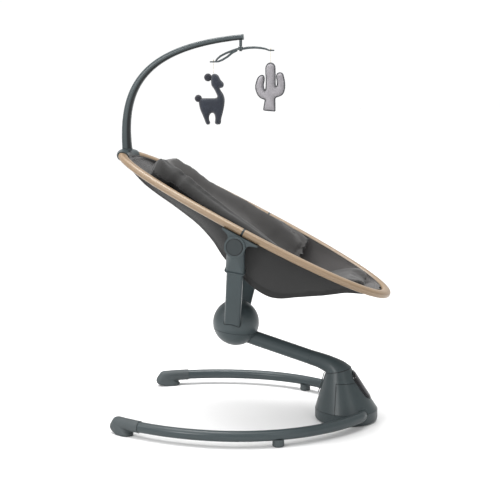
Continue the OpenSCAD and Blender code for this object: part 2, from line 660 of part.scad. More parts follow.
clip_sweep = 14;
module arch_clip() color(slate) {
    difference() {
        ring_part(180 - clip_sweep, 180 + clip_sweep, 12, 3.4);
        ring_part(178 - clip_sweep, 182 + clip_sweep, 14, 0.3);
    }
    difference() {
        arch_foot_frame() translate([0, 0, -6]) {
            cylinder(h = 5.6, r = 13);
            cylinder(h = arch_spigot + 6, r = 8);
        }
        ring_part(178 - clip_sweep, 182 + clip_sweep, 14, 0.3);
    }
}
stem_top = 916;
hub_disc_z = 890;
module mobile_stem() color(slate) translate([stem_x, 0, 0]) {
    translate([0, 0, hub_disc_z + 9]) cylinder(h = stem_top - hub_disc_z - 9, r = 3.5);
    translate([0, 0, hub_disc_z - 1]) cylinder(h = 11, r = 2);
    translate([0, 0, hub_disc_z - 2.5]) cylinder(h = 2, r = 3.4);
}

// ================= mobile =================
module mobile_hub() color(slate) translate([stem_x, 0, hub_disc_z]) difference() {
    union() {
        cylinder(h = 8, r = 6);
        translate([0, 0, 1]) cylinder(h = 4, r = 8);
    }
    translate([0, 0, -eps]) cylinder(h = 9, r = 2 + fit);
}
left_tip = [-96.8, 0, 863];
right_tip = [41.5, 0, 889];
tip_t = 3;
rail_r = [2.8, 2.8, 2.6, 2.5, 2.3, 1.8];
// Upper and lower rails of the left loop, then the right loop's two level rails
left_upper = [[-37, 0, 893], [-50, 1, 889], [-66, 2, 883.5], [-80, 2, 876.5], [-87, 1, 870.5],
    [-91.5, 0.5, 865]];
left_lower = [[-37, 0, 891], [-50, -2, 884.5], [-62, -4, 874.5], [-74, -4, 867.5], [-84, -2.5, 863.8],
    [-91.5, -0.5, 863]];
function right_rail(s) = [[-24, s, 893.5], [-12, 4 * s, 895.5], [4, 7 * s, 896], [18, 7 * s, 894.8],
    [29, 4 * s, 892.8], [37.5, 1.5 * s, 889.4]];
module tip_pad(p, out) translate(p) difference() {
    translate([0, 0, -tip_t / 2]) hull() {
        cylinder(h = tip_t, r = 5.2, $fn = 32);
        translate([7 * out, 0, 0]) cylinder(h = tip_t, r = 2, $fn = 32);
    }
    cylinder(h = 20, r = 1.3, center = true, $fn = 24);
}
module mobile_arms() color(slate) {
    difference() {
        union() {
            rod(left_upper, rail_r, 10);
            rod(left_lower, rail_r, 10);
            for (s = [-1, 1]) rod(right_rail(s), rail_r, 10);
        }
        for (p = [left_tip, right_tip]) translate(p) cylinder(h = 20, r = 1.3, center = true, $fn = 24);
        translate([stem_x, 0, hub_disc_z]) cylinder(h = 30, r = 8 + fit, center = true);
    }
    tip_pad(left_tip, -1);
    tip_pad(right_tip, 1);
}
string_r = 0.6;
module toy_string(top, toy_top) color(linen) translate([top[0], 0, 0]) {
    translate([0, 0, toy_top + 0.3]) cylinder(h = top[2] + 3 - toy_top - 0.3, r = string_r, $fn = 16);
    translate([0, 0, top[2] + tip_t / 2 + 2.2]) sphere(1.8, $fn = 24);
}
llama_top = 835.4;
cactus_top = 859.9;
toy_t = 16;
module llama_string() toy_string(left_tip, llama_top);
module cactus_string() toy_string(right_tip, cactus_top);
toy_fillet = 1.5;        // radius of the inner corners of a toy's outline
module toy(at, top) translate([at[0], toy_t / 2, top]) rotate([90, 0, 0]) linear_extrude(toy_t)
    offset(r = -toy_fillet, $fn = 24) offset(r = toy_fillet, $fn = 24) union() { $fn = 32; children(); }
// Outlines in millimetres from the string, clockwise from the top of the head
llama_outline = [[0, -1], [7, -2], [12, -6], [16, -14], [20, -18.5], [24, -23], [24, -29.5], [20, -33.5],
    [14, -34], [17.5, -41], [23, -49], [26, -58], [26.5, -66], [24.5, -81], [21.5, -94], [18, -107],
    [16, -119.5], [4, -119], [4.5, -107], [3, -98], [-1, -93], [-5.5, -93], [-10, -97], [-12, -103.5],
    [-11.5, -111], [-9, -118], [-14, -121.5], [-18, -120], [-22, -110], [-27.5, -97], [-33, -84],
    [-36, -68], [-34.5, -60.5], [-29, -59], [-16, -59], [0, -59], [7, -58], [10, -55], [7.5, -47.5],
    [1.5, -36], [-4, -29], [-5.5, -21.5], [-5.5, -11], [-4, -4.5]];
llama_ear = [-13.7, -9.1];
llama_tail = [-37.8, -59];
module llama() color(navy) toy(left_tip, llama_top) {
    polygon(llama_outline);
    translate(llama_ear) circle(8.4);
    stroke([llama_ear, [-2, -12]], 4);
    translate(llama_tail) circle(8.8);
    stroke([llama_tail, [-30, -66]], 4);
}
cactus_outline = [[-6, -2], [0, 0], [6, -2], [10.5, -8], [11, -20], [11.5, -34], [11.5, -48],
    [12.5, -54.5], [15, -54.5], [16.3, -50], [15.5, -40], [14.2, -31], [16.5, -25], [22, -23],
    [28.5, -25], [31.5, -33], [34, -46], [34, -59], [31.5, -69], [27, -75], [19.5, -78.5], [11.5, -82],
    [11, -93], [11.5, -113.5], [-17, -111], [-14, -93], [-13, -86.5], [-22.5, -82.5], [-29.5, -76],
    [-34.5, -65.5], [-36, -55], [-33.5, -43.5], [-29.5, -34], [-22.5, -29], [-17.5, -29.5], [-15, -34],
    [-15.3, -42], [-17, -51], [-16.2, -59], [-13, -64.5], [-11, -58], [-10.5, -38], [-11.5, -22],
    [-11, -9]];
module cactus() color(mauve) toy(right_tip, cactus_top) polygon(cactus_outline);

// ================= draw =================
base_pan();
housing_front();
housing_rear();
leg_tube();  // leg_tube_left
right_side() leg_tube();  // leg_tube_right
front_foot();  // front_foot_left
right_side() front_foot();  // front_foot_right
mid_feet();
control_bezel();
control_glass();
dc_jack();
drive_frame();
upper_bearing();
lower_bearing();
drive_coil();
main_board();
speaker();
housing_screws();
front_trim_strip();
arm_tube();
arm_elbow();
swing_axle();
magnet_carrier();
drive_magnets();
hub_lower_shell();
hub_upper_shell();
hub_core();
hub_screws();
upright();  // upright_left
right_side() upright();  // upright_right
upright_sleeve();  // upright_sleeve_left
right_side() upright_sleeve();  // upright_sleeve_right
hinge_pin();  // hinge_pin_left
right_side() hinge_pin();  // hinge_pin_right
snap_button();  // snap_button_left
right_side() snap_button();  // snap_button_right
ring_head_tube();
ring_foot_tube();
ring_joints();
ring_bracket();  // ring_bracket_left
right_side() ring_bracket();  // ring_bracket_right
recline_button();  // recline_button_left
right_side() recline_button();  // recline_button_right
seat_shell();
seat_liner();
newborn_inlay();
crotch_strap();
waist_straps();
harness_buckle();
arch_clip();
arch_tube();
mobile_stem();
mobile_hub();
mobile_arms();
llama_string();
llama();
cactus_string();
cactus();
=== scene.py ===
"""Looks of the baby swing: finishes for the hard parts, and the soft goods, wood ring and toys as pieces."""
import json
import math

import bpy
import numpy as np
from mathutils import Matrix, Vector


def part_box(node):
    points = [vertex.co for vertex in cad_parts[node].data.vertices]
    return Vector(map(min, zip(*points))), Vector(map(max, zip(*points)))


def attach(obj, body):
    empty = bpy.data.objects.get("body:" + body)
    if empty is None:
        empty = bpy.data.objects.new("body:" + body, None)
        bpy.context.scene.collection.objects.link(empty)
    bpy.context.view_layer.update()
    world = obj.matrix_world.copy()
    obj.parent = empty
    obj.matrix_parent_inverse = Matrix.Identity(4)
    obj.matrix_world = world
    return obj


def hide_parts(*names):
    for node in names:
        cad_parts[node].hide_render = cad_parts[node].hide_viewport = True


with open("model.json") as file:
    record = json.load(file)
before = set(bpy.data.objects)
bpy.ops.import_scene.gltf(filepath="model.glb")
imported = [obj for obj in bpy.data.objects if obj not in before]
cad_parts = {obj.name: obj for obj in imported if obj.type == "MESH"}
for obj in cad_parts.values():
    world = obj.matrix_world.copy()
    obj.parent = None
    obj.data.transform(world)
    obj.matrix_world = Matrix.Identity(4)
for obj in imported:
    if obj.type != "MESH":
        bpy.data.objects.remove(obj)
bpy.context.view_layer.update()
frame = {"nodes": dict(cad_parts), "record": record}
NODE = frame["nodes"]
MM = 0.001
rng = np.random.default_rng(7)

# ---------------------------------------------------------------- camera
EYE = Vector((0.4526, -2.5124, 0.7856))
LOOK = Vector((-0.17841, 0.97318, -0.14518))
LENS = 76.26
camera = bpy.data.cameras.new("camera")
camera.lens = LENS
camera.sensor_width = 36.0
camera.clip_end = 60.0
camera_object = bpy.data.objects.new("camera", camera)
bpy.context.scene.collection.objects.link(camera_object)
camera_object.location = EYE
camera_object.rotation_euler = LOOK.to_track_quat("-Z", "Y").to_euler()
bpy.context.scene.camera = camera_object

# ---------------------------------------------------------------- numbers shared with the CAD model, in mm
HEAD_RUN, FOOT_RUN, HALF_W = 366.0, 352.0, 175.0
HEAD_POWER, FOOT_POWER = 2.3, 2.16
TUBE_W, TUBE_H = 24.0, 17.0
JOINT_T = 5.0
TILT = math.radians(26.9)
SEAT_X, SEAT_Z = 8.2, 476.0
SEAM_X, SEAM_Z, SEAM_R = 211.4, 122.0, 31.5
SWING_TILT = math.radians(13.0)
ARM_END_X, ARM_FALL, ARM_R = 142.0, 16.9, 18.0
GAP = 0.4
STRAP_FOOT_Y = 55.0
HINGE = (-7.18, 0.0, 445.68)
LEFT_TIP, RIGHT_TIP = (-96.8, 0.0, 863.0), (41.5, 0.0, 889.0)
LLAMA_TOP, CACTUS_TOP = 835.4, 859.9
STRING_D = 1.2
DEPTH_ROWS = [(-366, 6), (-340, 9), (-300, 17), (-240, 28), (-170, 37), (-100, 51), (-60, 67), (-25, 87),
              (10, 100), (40, 110), (70, 118), (100, 121), (120, 119), (140, 111), (170, 91), (220, 59),
              (270, 26), (300, 16), (330, 8), (352, 6)]


# ---------------------------------------------------------------- small helpers
def smooth_rows(x, rows):
    """A smooth curve through rows of (x, value), flat beyond its ends."""
    xs = np.array([r[0] for r in rows], float)
    ys = np.array([r[1] for r in rows], float)
    slopes = np.gradient(ys, xs)
    x = np.clip(np.asarray(x, float), xs[0], xs[-1])
    i = np.clip(np.searchsorted(xs, x) - 1, 0, len(xs) - 2)
    h = xs[i + 1] - xs[i]
    t = (x - xs[i]) / h
    a, b = 2 * t**3 - 3 * t**2 + 1, t**3 - 2 * t**2 + t
    c, d = -2 * t**3 + 3 * t**2, t**3 - t**2
    return a * ys[i] + b * h * slopes[i] + c * ys[i + 1] + d * h * slopes[i + 1]


def through(points, count, closed=False):
    """count points on a Catmull-Rom curve through the given points."""
    p = np.array(points, float)
    n = len(p)
    spans = n if closed else n - 1
    out = []
    for k in range(count):
        s = spans * k / (count if closed else count - 1)
        i = min(int(s), spans - 1)
        t = s - i
        if closed:
            q = [p[(i + j) % n] for j in (-1, 0, 1, 2)]
        else:
            q = [p[min(max(i + j, 0), n - 1)] for j in (-1, 0, 1, 2)]
        out.append(0.5 * (2 * q[1] + (q[2] - q[0]) * t + (2 * q[0] - 5 * q[1] + 4 * q[2] - q[3]) * t**2
                          + (3 * q[1] - q[0] - 3 * q[2] + q[3]) * t**3))
    return np.array(out)


def seat_point(u, y, z):
    """A place given along, across and square to the ring's plane, in mm, as metres in the row frame."""
    c, s = math.cos(TILT), math.sin(TILT)
    return Vector(((SEAT_X + u * c + z * s) * MM, y * MM, (SEAT_Z + z * c - u * s) * MM))


def seat_place(p):
    """The inverse of seat_point: along, across and square to the ring's plane, in mm."""
    c, s = math.cos(TILT), math.sin(TILT)
    x, z = p[0] / MM - SEAT_X, p[2] / MM - SEAT_Z
    return x * c - z * s, p[1] / MM, x * s + z * c


def swing_point(x, y, z):
    """A place in the frame of the swing axle, in mm, as metres in the row frame."""
    c, s = math.cos(SWING_TILT), math.sin(SWING_TILT)
    return Vector(((SEAM_X + x * c - z * s) * MM, y * MM, (SEAM_Z + z * c + x * s) * MM))


def ripple(p, scale, seed=0):
    """Smooth noise from -1 to 1 at a place in mm."""
    from mathutils import noise
    return noise.noise(Vector((p[0] / scale + 17.3 * seed, p[1] / scale, p[2] / scale)))


def new_object(name, mesh, material, body):
    obj = bpy.data.objects.new(name, mesh)
    bpy.context.scene.collection.objects.link(obj)
    mesh.materials.append(material)
    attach(obj, body)
    return obj


def mesh_piece(name, verts, faces, material, body, uvs=None, sharp=40):
    """A smooth-shaded mesh with one UV, in metres, for each vertex."""
    mesh = bpy.data.meshes.new(name)
    mesh.from_pydata([tuple(v) for v in verts], [], faces)
    if uvs is not None:
        layer = mesh.uv_layers.new(name="UVMap")
        for loop in mesh.loops:
            layer.data[loop.index].uv = uvs[loop.vertex_index]
    mesh.polygons.foreach_set("use_smooth", [True] * len(mesh.polygons))
    mesh.validate()
    mesh.update()
    mesh.set_sharp_from_angle(angle=math.radians(sharp))
    return new_object(name, mesh, material, body)


def loft(name, rings, material, body, caps=True, closed=True, sharp=40):
    """A skin through rings of points, each a closed loop unless closed is False."""
    n, m = len(rings[0]), len(rings)
    verts = [Vector(p) for ring in rings for p in ring]
    along = [0.0]
    for k in range(1, m):
        along.append(along[-1] + (Vector(rings[k][0]) - Vector(rings[k - 1][0])).length)
    uvs = []
    for k, ring in enumerate(rings):
        v = 0.0
        for i, p in enumerate(ring):
            v += (Vector(p) - Vector(ring[i - 1])).length if i else 0.0
            uvs.append((along[k], v))
    last = n if closed else n - 1
    faces = [(k * n + i, k * n + (i + 1) % n, (k + 1) * n + (i + 1) % n, (k + 1) * n + i)
             for k in range(m - 1) for i in range(last)]
    if caps and closed:
        faces += [tuple(range(n - 1, -1, -1)), tuple((m - 1) * n + i for i in range(n))]
    return mesh_piece(name, verts, faces, material, body, uvs, sharp)


def tube_rings(path, radius, sides=10):
    """Round rings along a path of points in metres; radius may be a list."""
    path = [Vector(p) for p in path]
    rings = []
    side = None
    for k, p in enumerate(path):
        t = (path[min(k + 1, len(path) - 1)] - path[max(k - 1, 0)]).normalized()
        if side is None:
            side = t.orthogonal().normalized()
        side = (side - t * side.dot(t)).normalized()
        up = t.cross(side)
        r = radius[k] if hasattr(radius, "__len__") else radius
        rings.append([p + side * (r * math.cos(a)) + up * (r * math.sin(a))
                      for a in (2 * math.pi * i / sides for i in range(sides))])
    return rings


def tube(name, path, radius, material, body, sides=10):
    return loft(name, tube_rings(path, radius, sides), material, body)


# ---------------------------------------------------------------- materials
class Nodes:
    """A principled material with a few short ways to add textures."""

    def __init__(self, name, colour, roughness, metallic=0.0):
        self.material = bpy.data.materials.new(name)
        self.material.use_nodes = True
        self.tree = self.material.node_tree
        self.shader = self.tree.nodes["Principled BSDF"]
        self.shader.inputs["Base Color"].default_value = (*colour, 1.0)
        self.shader.inputs["Roughness"].default_value = roughness
        self.shader.inputs["Metallic"].default_value = metallic
        self.colour = colour

    def add(self, kind, **values):
        node = self.tree.nodes.new(kind)
        for key, value in values.items():
            if key in node.inputs:
                node.inputs[key].default_value = value
            else:
                setattr(node, key.lower(), value)
        return node

    def link(self, out, into):
        self.tree.links.new(out, into)

    def place(self, use_uv, scale=(1, 1, 1)):
        coords = self.add("ShaderNodeTexCoord")
        mapping = self.add("ShaderNodeMapping")
        mapping.inputs["Scale"].default_value = scale
        self.link(coords.outputs["UV" if use_uv else "Object"], mapping.inputs["Vector"])
        return mapping.outputs["Vector"]

    def noise(self, vector, scale, detail=3.0, rough=0.5):
        node = self.add("ShaderNodeTexNoise", Scale=scale, Detail=detail, Roughness=rough)
        self.link(vector, node.inputs["Vector"])
        return node.outputs["Fac"]

    def wave(self, vector, scale, direction="X", distortion=0.0):
        node = self.add("ShaderNodeTexWave", Scale=scale, Distortion=distortion)
        node.bands_direction = direction
        self.link(vector, node.inputs["Vector"])
        return node.outputs["Fac"]

    def ramp(self, fac, stops):
        node = self.add("ShaderNodeValToRGB")
        while len(node.color_ramp.elements) < len(stops):
            node.color_ramp.elements.new(0.5)
        for element, (at, colour) in zip(node.color_ramp.elements, stops):
            element.position = at
            element.color = (*colour, 1.0)
        self.link(fac, node.inputs["Fac"])
        return node.outputs["Color"]

    def math(self, kind, a, b):
        node = self.add("ShaderNodeMath")
        node.operation = kind
        for socket, value in zip(node.inputs, (a, b)):
            if isinstance(value, (int, float)):
                socket.default_value = value
            else:
                self.link(value, socket)
        return node.outputs["Value"]

    def shades(self, fac, dark, light, low=0.3, high=0.7):
        """Colours the surface between a darker and a lighter shade of its own colour."""
        stops = [(low, [c * dark for c in self.colour]), (high, [min(1.0, c * light) for c in self.colour])]
        self.link(self.ramp(fac, stops), self.shader.inputs["Base Color"])

    def rough(self, fac, low, high):
        node = self.add("ShaderNodeMapRange")
        node.inputs["To Min"].default_value = low
        node.inputs["To Max"].default_value = high
        self.link(fac, node.inputs["Value"])
        self.link(node.outputs["Result"], self.shader.inputs["Roughness"])

    def bump(self, fac, strength, distance):
        node = self.add("ShaderNodeBump", Strength=strength, Distance=distance)
        self.link(fac, node.inputs["Height"])
        self.link(node.outputs["Normal"], self.shader.inputs["Normal"])


SLATE = (0.037, 0.049, 0.0525)
SLATE_DARK = (0.019, 0.025, 0.027)
# A slightly darker copy of the frame slate for the housing: painted shade.
SLATE_HOUSING_SHADED = (0.034, 0.045, 0.048)


def painted(name, colour, roughness=0.34, grain=1500.0):
    """Satin paint or moulded plastic: a fine orange-peel skin with faint handling marks."""
    m = Nodes(name, colour, roughness)
    place = m.place(False)
    m.shades(m.noise(place, 9.0), 0.93, 1.07)
    m.rough(m.noise(place, 60.0, 4.0), roughness - 0.05, roughness + 0.08)
    m.bump(m.noise(place, grain, 2.0), 0.12, 0.0002)
    m.shader.inputs["Specular IOR Level"].default_value = 0.32
    return m.material


def rubber(name, colour):
    m = Nodes(name, colour, 0.62)
    place = m.place(False)
    m.shades(m.noise(place, 25.0), 0.88, 1.12)
    m.bump(m.noise(place, 2200.0, 3.0), 0.25, 0.0003)
    return m.material


def steel(name, colour=(0.55, 0.56, 0.57)):
    m = Nodes(name, colour, 0.3, 1.0)
    place = m.place(False, (1, 1, 40))
    m.shades(m.noise(place, 120.0), 0.9, 1.1)
    m.rough(m.noise(place, 90.0), 0.22, 0.42)
    return m.material


def beech(name):
    """Pale beech with grain lines along the ring, short flecks and a satin lacquer."""
    m = Nodes(name, (0.62, 0.44, 0.27), 0.42)
    long_grain = m.place(True, (3.0, 260.0, 1.0))
    broad = m.noise(m.place(True, (1.2, 70.0, 1.0)), 1.0, 3.0)
    fine = m.noise(long_grain, 1.0, 4.0, 0.6)
    mixed = m.math("ADD", m.math("MULTIPLY", broad, 0.6), m.math("MULTIPLY", fine, 0.4))
    colour = m.ramp(mixed, [(0.30, (0.140, 0.089, 0.047)), (0.44, (0.194, 0.131, 0.077)), (0.58, (0.239, 0.171, 0.105)),
                            (0.76, (0.302, 0.231, 0.155))])
    flecks = m.ramp(m.noise(m.place(True, (60.0, 900.0, 1.0)), 1.0, 2.0),
                    [(0.66, (1, 1, 1)), (0.74, (0.82, 0.74, 0.66))])
    both = m.add("ShaderNodeMix", data_type="RGBA", blend_type="MULTIPLY")
    both.inputs[0].default_value = 0.8
    m.link(colour, both.inputs[6])
    m.link(flecks, both.inputs[7])
    m.link(both.outputs[2], m.shader.inputs["Base Color"])
    m.rough(fine, 0.36, 0.50)
    m.bump(fine, 0.2, 0.0002)
    m.shader.inputs["Coat Weight"].default_value = 0.15
    m.shader.inputs["Coat Roughness"].default_value = 0.3
    return m.material


def woven(name, colour, thread=0.0009, heather=0.25, sheen=0.25, depth=0.0005, warm=None):
    """Woven or knitted cloth: crossing threads in relief, with a heather of lighter and darker yarns."""
    m = Nodes(name, colour, 0.9)
    across = m.place(True)
    scale = 1.0 / thread / 6.2832 * 2.0
    warp = m.wave(across, scale, "X", 0.6)
    weft = m.wave(across, scale, "Y", 0.6)
    weave = m.math("MULTIPLY", warp, weft)
    yarns = m.noise(m.place(True, (1.0, 0.35, 1.0)), 1400.0, 2.0, 0.7)
    broad = m.noise(m.place(False), 14.0, 4.0)
    mixed = m.math("ADD", m.math("MULTIPLY", yarns, 0.6), m.math("MULTIPLY", broad, 0.4))
    m.shades(mixed, 1.0 - heather, 1.0 + heather, 0.34, 0.66)
    m.bump(m.math("ADD", weave, m.math("MULTIPLY", yarns, 0.5)), 0.5, depth)
    m.shader.inputs["Sheen Weight"].default_value = sheen
    m.shader.inputs["Sheen Roughness"].default_value = 0.5
    return m.material


def felt(name, colour, heather=0.2):
    m = Nodes(name, colour, 0.95)
    place = m.place(False)
    fibres = m.noise(place, 900.0, 5.0, 0.75)
    m.shades(m.math("ADD", m.math("MULTIPLY", fibres, 0.7), m.math("MULTIPLY", m.noise(place, 60.0), 0.3)),
             1.0 - heather, 1.0 + heather, 0.36, 0.64)
    m.bump(fibres, 0.6, 0.0006)
    m.shader.inputs["Sheen Weight"].default_value = 0.3
    return m.material


def glossy(name, colour):
    m = Nodes(name, colour, 0.08)
    place = m.place(False)
    m.shades(m.noise(place, 12.0), 0.8, 1.2)
    m.rough(m.noise(place, 50.0, 4.0), 0.10, 0.20)
    m.shader.inputs["Specular IOR Level"].default_value = 0.2
    return m.material


MAT = {
    "frame_paint": painted("slate_paint", SLATE, 0.30),
    "frame_plastic": painted("slate_plastic", SLATE, 0.36, 1100.0),
    "housing_plastic": painted("slate_housing_shaded", SLATE_HOUSING_SHADED, 0.36, 1100.0),
    "foot_rubber": rubber("dark_rubber", (0.040, 0.050, 0.053)),
    "bezel_plastic": painted("bezel_plastic", SLATE_DARK, 0.28, 1300.0),
    "panel_gloss": glossy("panel_gloss", (0.006, 0.006, 0.008)),
    "black_plastic": painted("black_plastic", (0.012, 0.012, 0.013), 0.5, 1200.0),
    "dark_plastic": painted("dark_plastic", SLATE_DARK, 0.45, 1200.0),
    "bright_steel": steel("bright_steel"),
    "coil_copper": steel("coil_copper", (0.62, 0.30, 0.14)),
    "board": painted("board_green", (0.010, 0.090, 0.040), 0.4, 500.0),
    "beech": beech("beech"),
    "shell_fabric": woven("shell_fabric", (0.0115, 0.0115, 0.0115), 0.0011, 0.12, 0.08, 0.0003),
    "inner_fabric": woven("inner_fabric", (0.039, 0.0372, 0.0362), 0.0009, 0.30, 0.20),
    "webbing": woven("webbing", (0.020, 0.020, 0.021), 0.0014, 0.15, 0.1, 0.0006),
    "buckle_plastic": painted("buckle_plastic", (0.014, 0.014, 0.015), 0.35, 1200.0),
    "string": woven("string", (0.62, 0.58, 0.48), 0.0006, 0.12, 0.1),
    "llama_felt": felt("llama_felt", (0.016, 0.020, 0.030)),
    "cactus_felt": felt("cactus_felt", (0.25, 0.24, 0.255)),
}
# A lighter copy of the liner cloth for the liner's foot: painted light on a wall that sits in shade.
FOOT_LIT_CLOTH = woven("liner_foot_painted_light", (0.062, 0.058, 0.057), 0.0009, 0.25, 0.15)
FOOT_PAD_CLOTH = woven("foot_pad_fabric", (0.021, 0.0195, 0.019), 0.0009, 0.30, 0.20)
LINER_CLOTH = woven("liner_fabric", (0.023, 0.022, 0.022), 0.0009, 0.30, 0.20)
# Near-black cloth for sewn seams; also laid on the inlay's wing undersides and front seam as painted shade.
SEAM_AND_SHADE_DARK = woven("seam_and_painted_shade", (0.010, 0.010, 0.010), 0.0008, 0.1, 0.0)
# A darker copy of the inlay cloth for its outward-facing sides: painted shade.
INLAY_OUTER_SHADE = woven("inlay_outer_painted_shade", (0.0090, 0.0087, 0.0084), 0.0009, 0.25, 0.15)
# A near-black copy of the shell cloth for the hammock's bottom and a low band up its sides: painted shade.
BASE_SHADE_CLOTH = woven("base_painted_shade", (0.0035, 0.0035, 0.0035), 0.0011, 0.12, 0.06, 0.0003)
PIPING = woven("piping", (0.014, 0.014, 0.014), 0.0008, 0.15, 0.15)
LLAMA_DARK = felt("llama_dark_felt", (0.012, 0.013, 0.020))
STITCH = felt("stitch_thread", (0.030, 0.034, 0.040), 0.1)
# Near-black for two bands along the arch's inner side: painted shade.
ARCH_INNER_SHADE = painted("arch_inner_painted_shade", (0.009, 0.012, 0.013), 0.45, 1200.0)
# Near-black for thin tubes laid in the gaps between parts: painted shade of the gaps.
GAP_SHADE = painted("gap_painted_shade", (0.006, 0.007, 0.008), 0.6)


BUTTON_FACE = painted("button_face", (0.020, 0.026, 0.028), 0.42, 1100.0)
OWN = {"control_bezel": MAT["panel_gloss"], "recline_button_left": BUTTON_FACE, "recline_button_right": BUTTON_FACE}


def dress_cad():
    """Finishes for the CAD nodes: closed up, softly bevelled and smooth-shaded, each in its slot's material."""
    slots = {row["node"]: row["material_slot"] for row in frame["record"]["subparts"]}
    for name, obj in NODE.items():
        mesh = obj.data
        mesh.materials.clear()
        mesh.materials.append(OWN.get(name, MAT[slots[name]]))
        bpy.context.view_layer.objects.active = obj
        bpy.ops.mesh.customdata_custom_splitnormals_clear()
        mesh.polygons.foreach_set("use_smooth", [True] * len(mesh.polygons))
        weld = obj.modifiers.new("weld", "WELD")
        weld.merge_threshold = 0.00002
        bevel = obj.modifiers.new("bevel", "BEVEL")
        bevel.width = 0.0007
        bevel.segments = 2
        bevel.limit_method = "ANGLE"
        bevel.angle_limit = math.radians(38)
        bevel.use_clamp_overlap = True
        if name.startswith("front_foot"):
            obj.modifiers.clear()
            remesh = obj.modifiers.new("remesh", "REMESH")
            remesh.mode = "VOXEL"
            remesh.voxel_size = 0.0016
            remesh.use_smooth_shade = True
            smooth = obj.modifiers.new("smooth", "SMOOTH")
            smooth.factor = 0.5
            smooth.iterations = 7
            continue
        normals = obj.modifiers.new("normals", "WEIGHTED_NORMAL")
        normals.keep_sharp = True
        normals.weight = 60


dress_cad()


# ---------------------------------------------------------------- stage and light
def stage():
    size = 60.0
    mesh = bpy.data.meshes.new("floor")
    low = -0.0004
    mesh.from_pydata([(-size, -size, low), (size, -size, low), (size, size, low), (-size, size, low)], [],
                     [(0, 1, 2, 3)])
    floor = bpy.data.objects.new("floor", mesh)
    bpy.context.scene.collection.objects.link(floor)
    m = Nodes("floor_pale", (0.85, 0.85, 0.85), 0.65)
    m.shades(m.noise(m.place(False), 1.5), 0.995, 1.005)
    mesh.materials.append(m.material)

    world = bpy.data.worlds.new("world")
    world.use_nodes = True
    nodes, links = world.node_tree.nodes, world.node_tree.links
    background = nodes["Background"]
    background.inputs["Strength"].default_value = 1.03
    where = nodes.new("ShaderNodeTexCoord")
    split = nodes.new("ShaderNodeSeparateXYZ")
    ramp = nodes.new("ShaderNodeValToRGB")
    links.new(where.outputs["Generated"], split.inputs["Vector"])
    links.new(split.outputs["Z"], ramp.inputs["Fac"])
    links.new(ramp.outputs["Color"], background.inputs["Color"])
    ramp.color_ramp.interpolation = "EASE"
    for k, (height, shade) in enumerate(((0.16, 1.0), (0.38, 0.60), (0.80, 0.65), (1.0, 1.0))):
        if k < 2:
            stop = ramp.color_ramp.elements[k]
            stop.position = height
        else:
            stop = ramp.color_ramp.elements.new(height)
        stop.color = (shade, shade, shade, 1.0)
    bpy.context.scene.world = world

    def softbox(name, at, target, size_x, size_y, power):
        light = bpy.data.lights.new(name, "AREA")
        light.shape = "RECTANGLE"
        light.size, light.size_y = size_x, size_y
        light.energy = power
        obj = bpy.data.objects.new(name, light)
        bpy.context.scene.collection.objects.link(obj)
        obj.location = at
        obj.rotation_euler = (Vector(target) - Vector(at)).to_track_quat("-Z", "Y").to_euler()

    softbox("key", (-2.4, -1.2, 2.0), (-0.05, 0.0, 0.40), 0.5, 1.4, 14.0)
    softbox("front", (-1.3, -2.4, 1.5), (-0.05, 0.0, 0.25), 0.6, 0.6, 30.0)
    softbox("right", (1.6, -1.9, 1.6), (0.0, 0.0, 0.25), 0.5, 0.5, 6.0)
    softbox("top", (-0.1, 0.25, 2.6), (0.0, 0.0, 0.4), 2.2, 0.35, 55.0)
    sun = bpy.data.lights.new("overcast", "SUN")
    sun.energy = 1.75
    sun.angle = math.radians(60)
    sun_object = bpy.data.objects.new("overcast", sun)
    bpy.context.scene.collection.objects.link(sun_object)
    sun_object.rotation_euler = Vector((0.22, -0.06, -1.25)).to_track_quat("-Z", "Y").to_euler()


stage()
bpy.context.scene.view_settings.view_transform = "Standard"


# ---------------------------------------------------------------- ring
def run_of(x):
    return FOOT_RUN if x > 0 else HEAD_RUN


def power_of(x):
    return FOOT_POWER if x > 0 else HEAD_POWER


def ring_at(t, inward=0.0):
    """A point on the ring's centreline at angle t, moved inwards square to it, as (along, across)."""
    c, s = math.cos(t), math.sin(t)
    p, run = power_of(c), run_of(c)
    at = (run * math.copysign(abs(c) ** (2 / p), c), HALF_W * math.copysign(abs(s) ** (2 / p), s))
    out = (math.copysign(abs(c) ** (2 - 2 / p), c) / run, math.copysign(abs(s) ** (2 - 2 / p), s) / HALF_W)
    size = math.hypot(*out)
    out = (out[0] / size, out[1] / size)
    return (at[0] - out[0] * inward, at[1] - out[1] * inward), out


def joint_angle(x):
    return math.pi / 2 - math.acos((JOINT_T / 2 / run_of(x)) ** (power_of(x) / 2))


RING_POWER = 2.5         # squareness of the tube's own section


def ring_half(name, node, start, end, steps=150, sides=32):
    rings = []
    for k in range(steps + 1):
        t = start + (end - start) * k / steps
        (u, y), out = ring_at(t)
        ring = []
        for i in range(sides):
            a = 2 * math.pi * i / sides
            c, s = math.cos(a), math.sin(a)
            w = TUBE_W / 2 * math.copysign(abs(c) ** (2 / RING_POWER), c)
            h = TUBE_H / 2 * math.copysign(abs(s) ** (2 / RING_POWER), s)
            ring.append(seat_point(u + out[0] * w, y + out[1] * w, -h))
        rings.append(ring)
    piece = loft(name, rings, MAT["beech"], "seat")
    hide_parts(node)
    return piece


ring_half("ring_head_wood", "ring_head_tube", math.pi / 2 + joint_angle(-1), 1.5 * math.pi - joint_angle(-1))
ring_half("ring_foot_wood", "ring_foot_tube", -math.pi / 2 + joint_angle(1), math.pi / 2 - joint_angle(1))


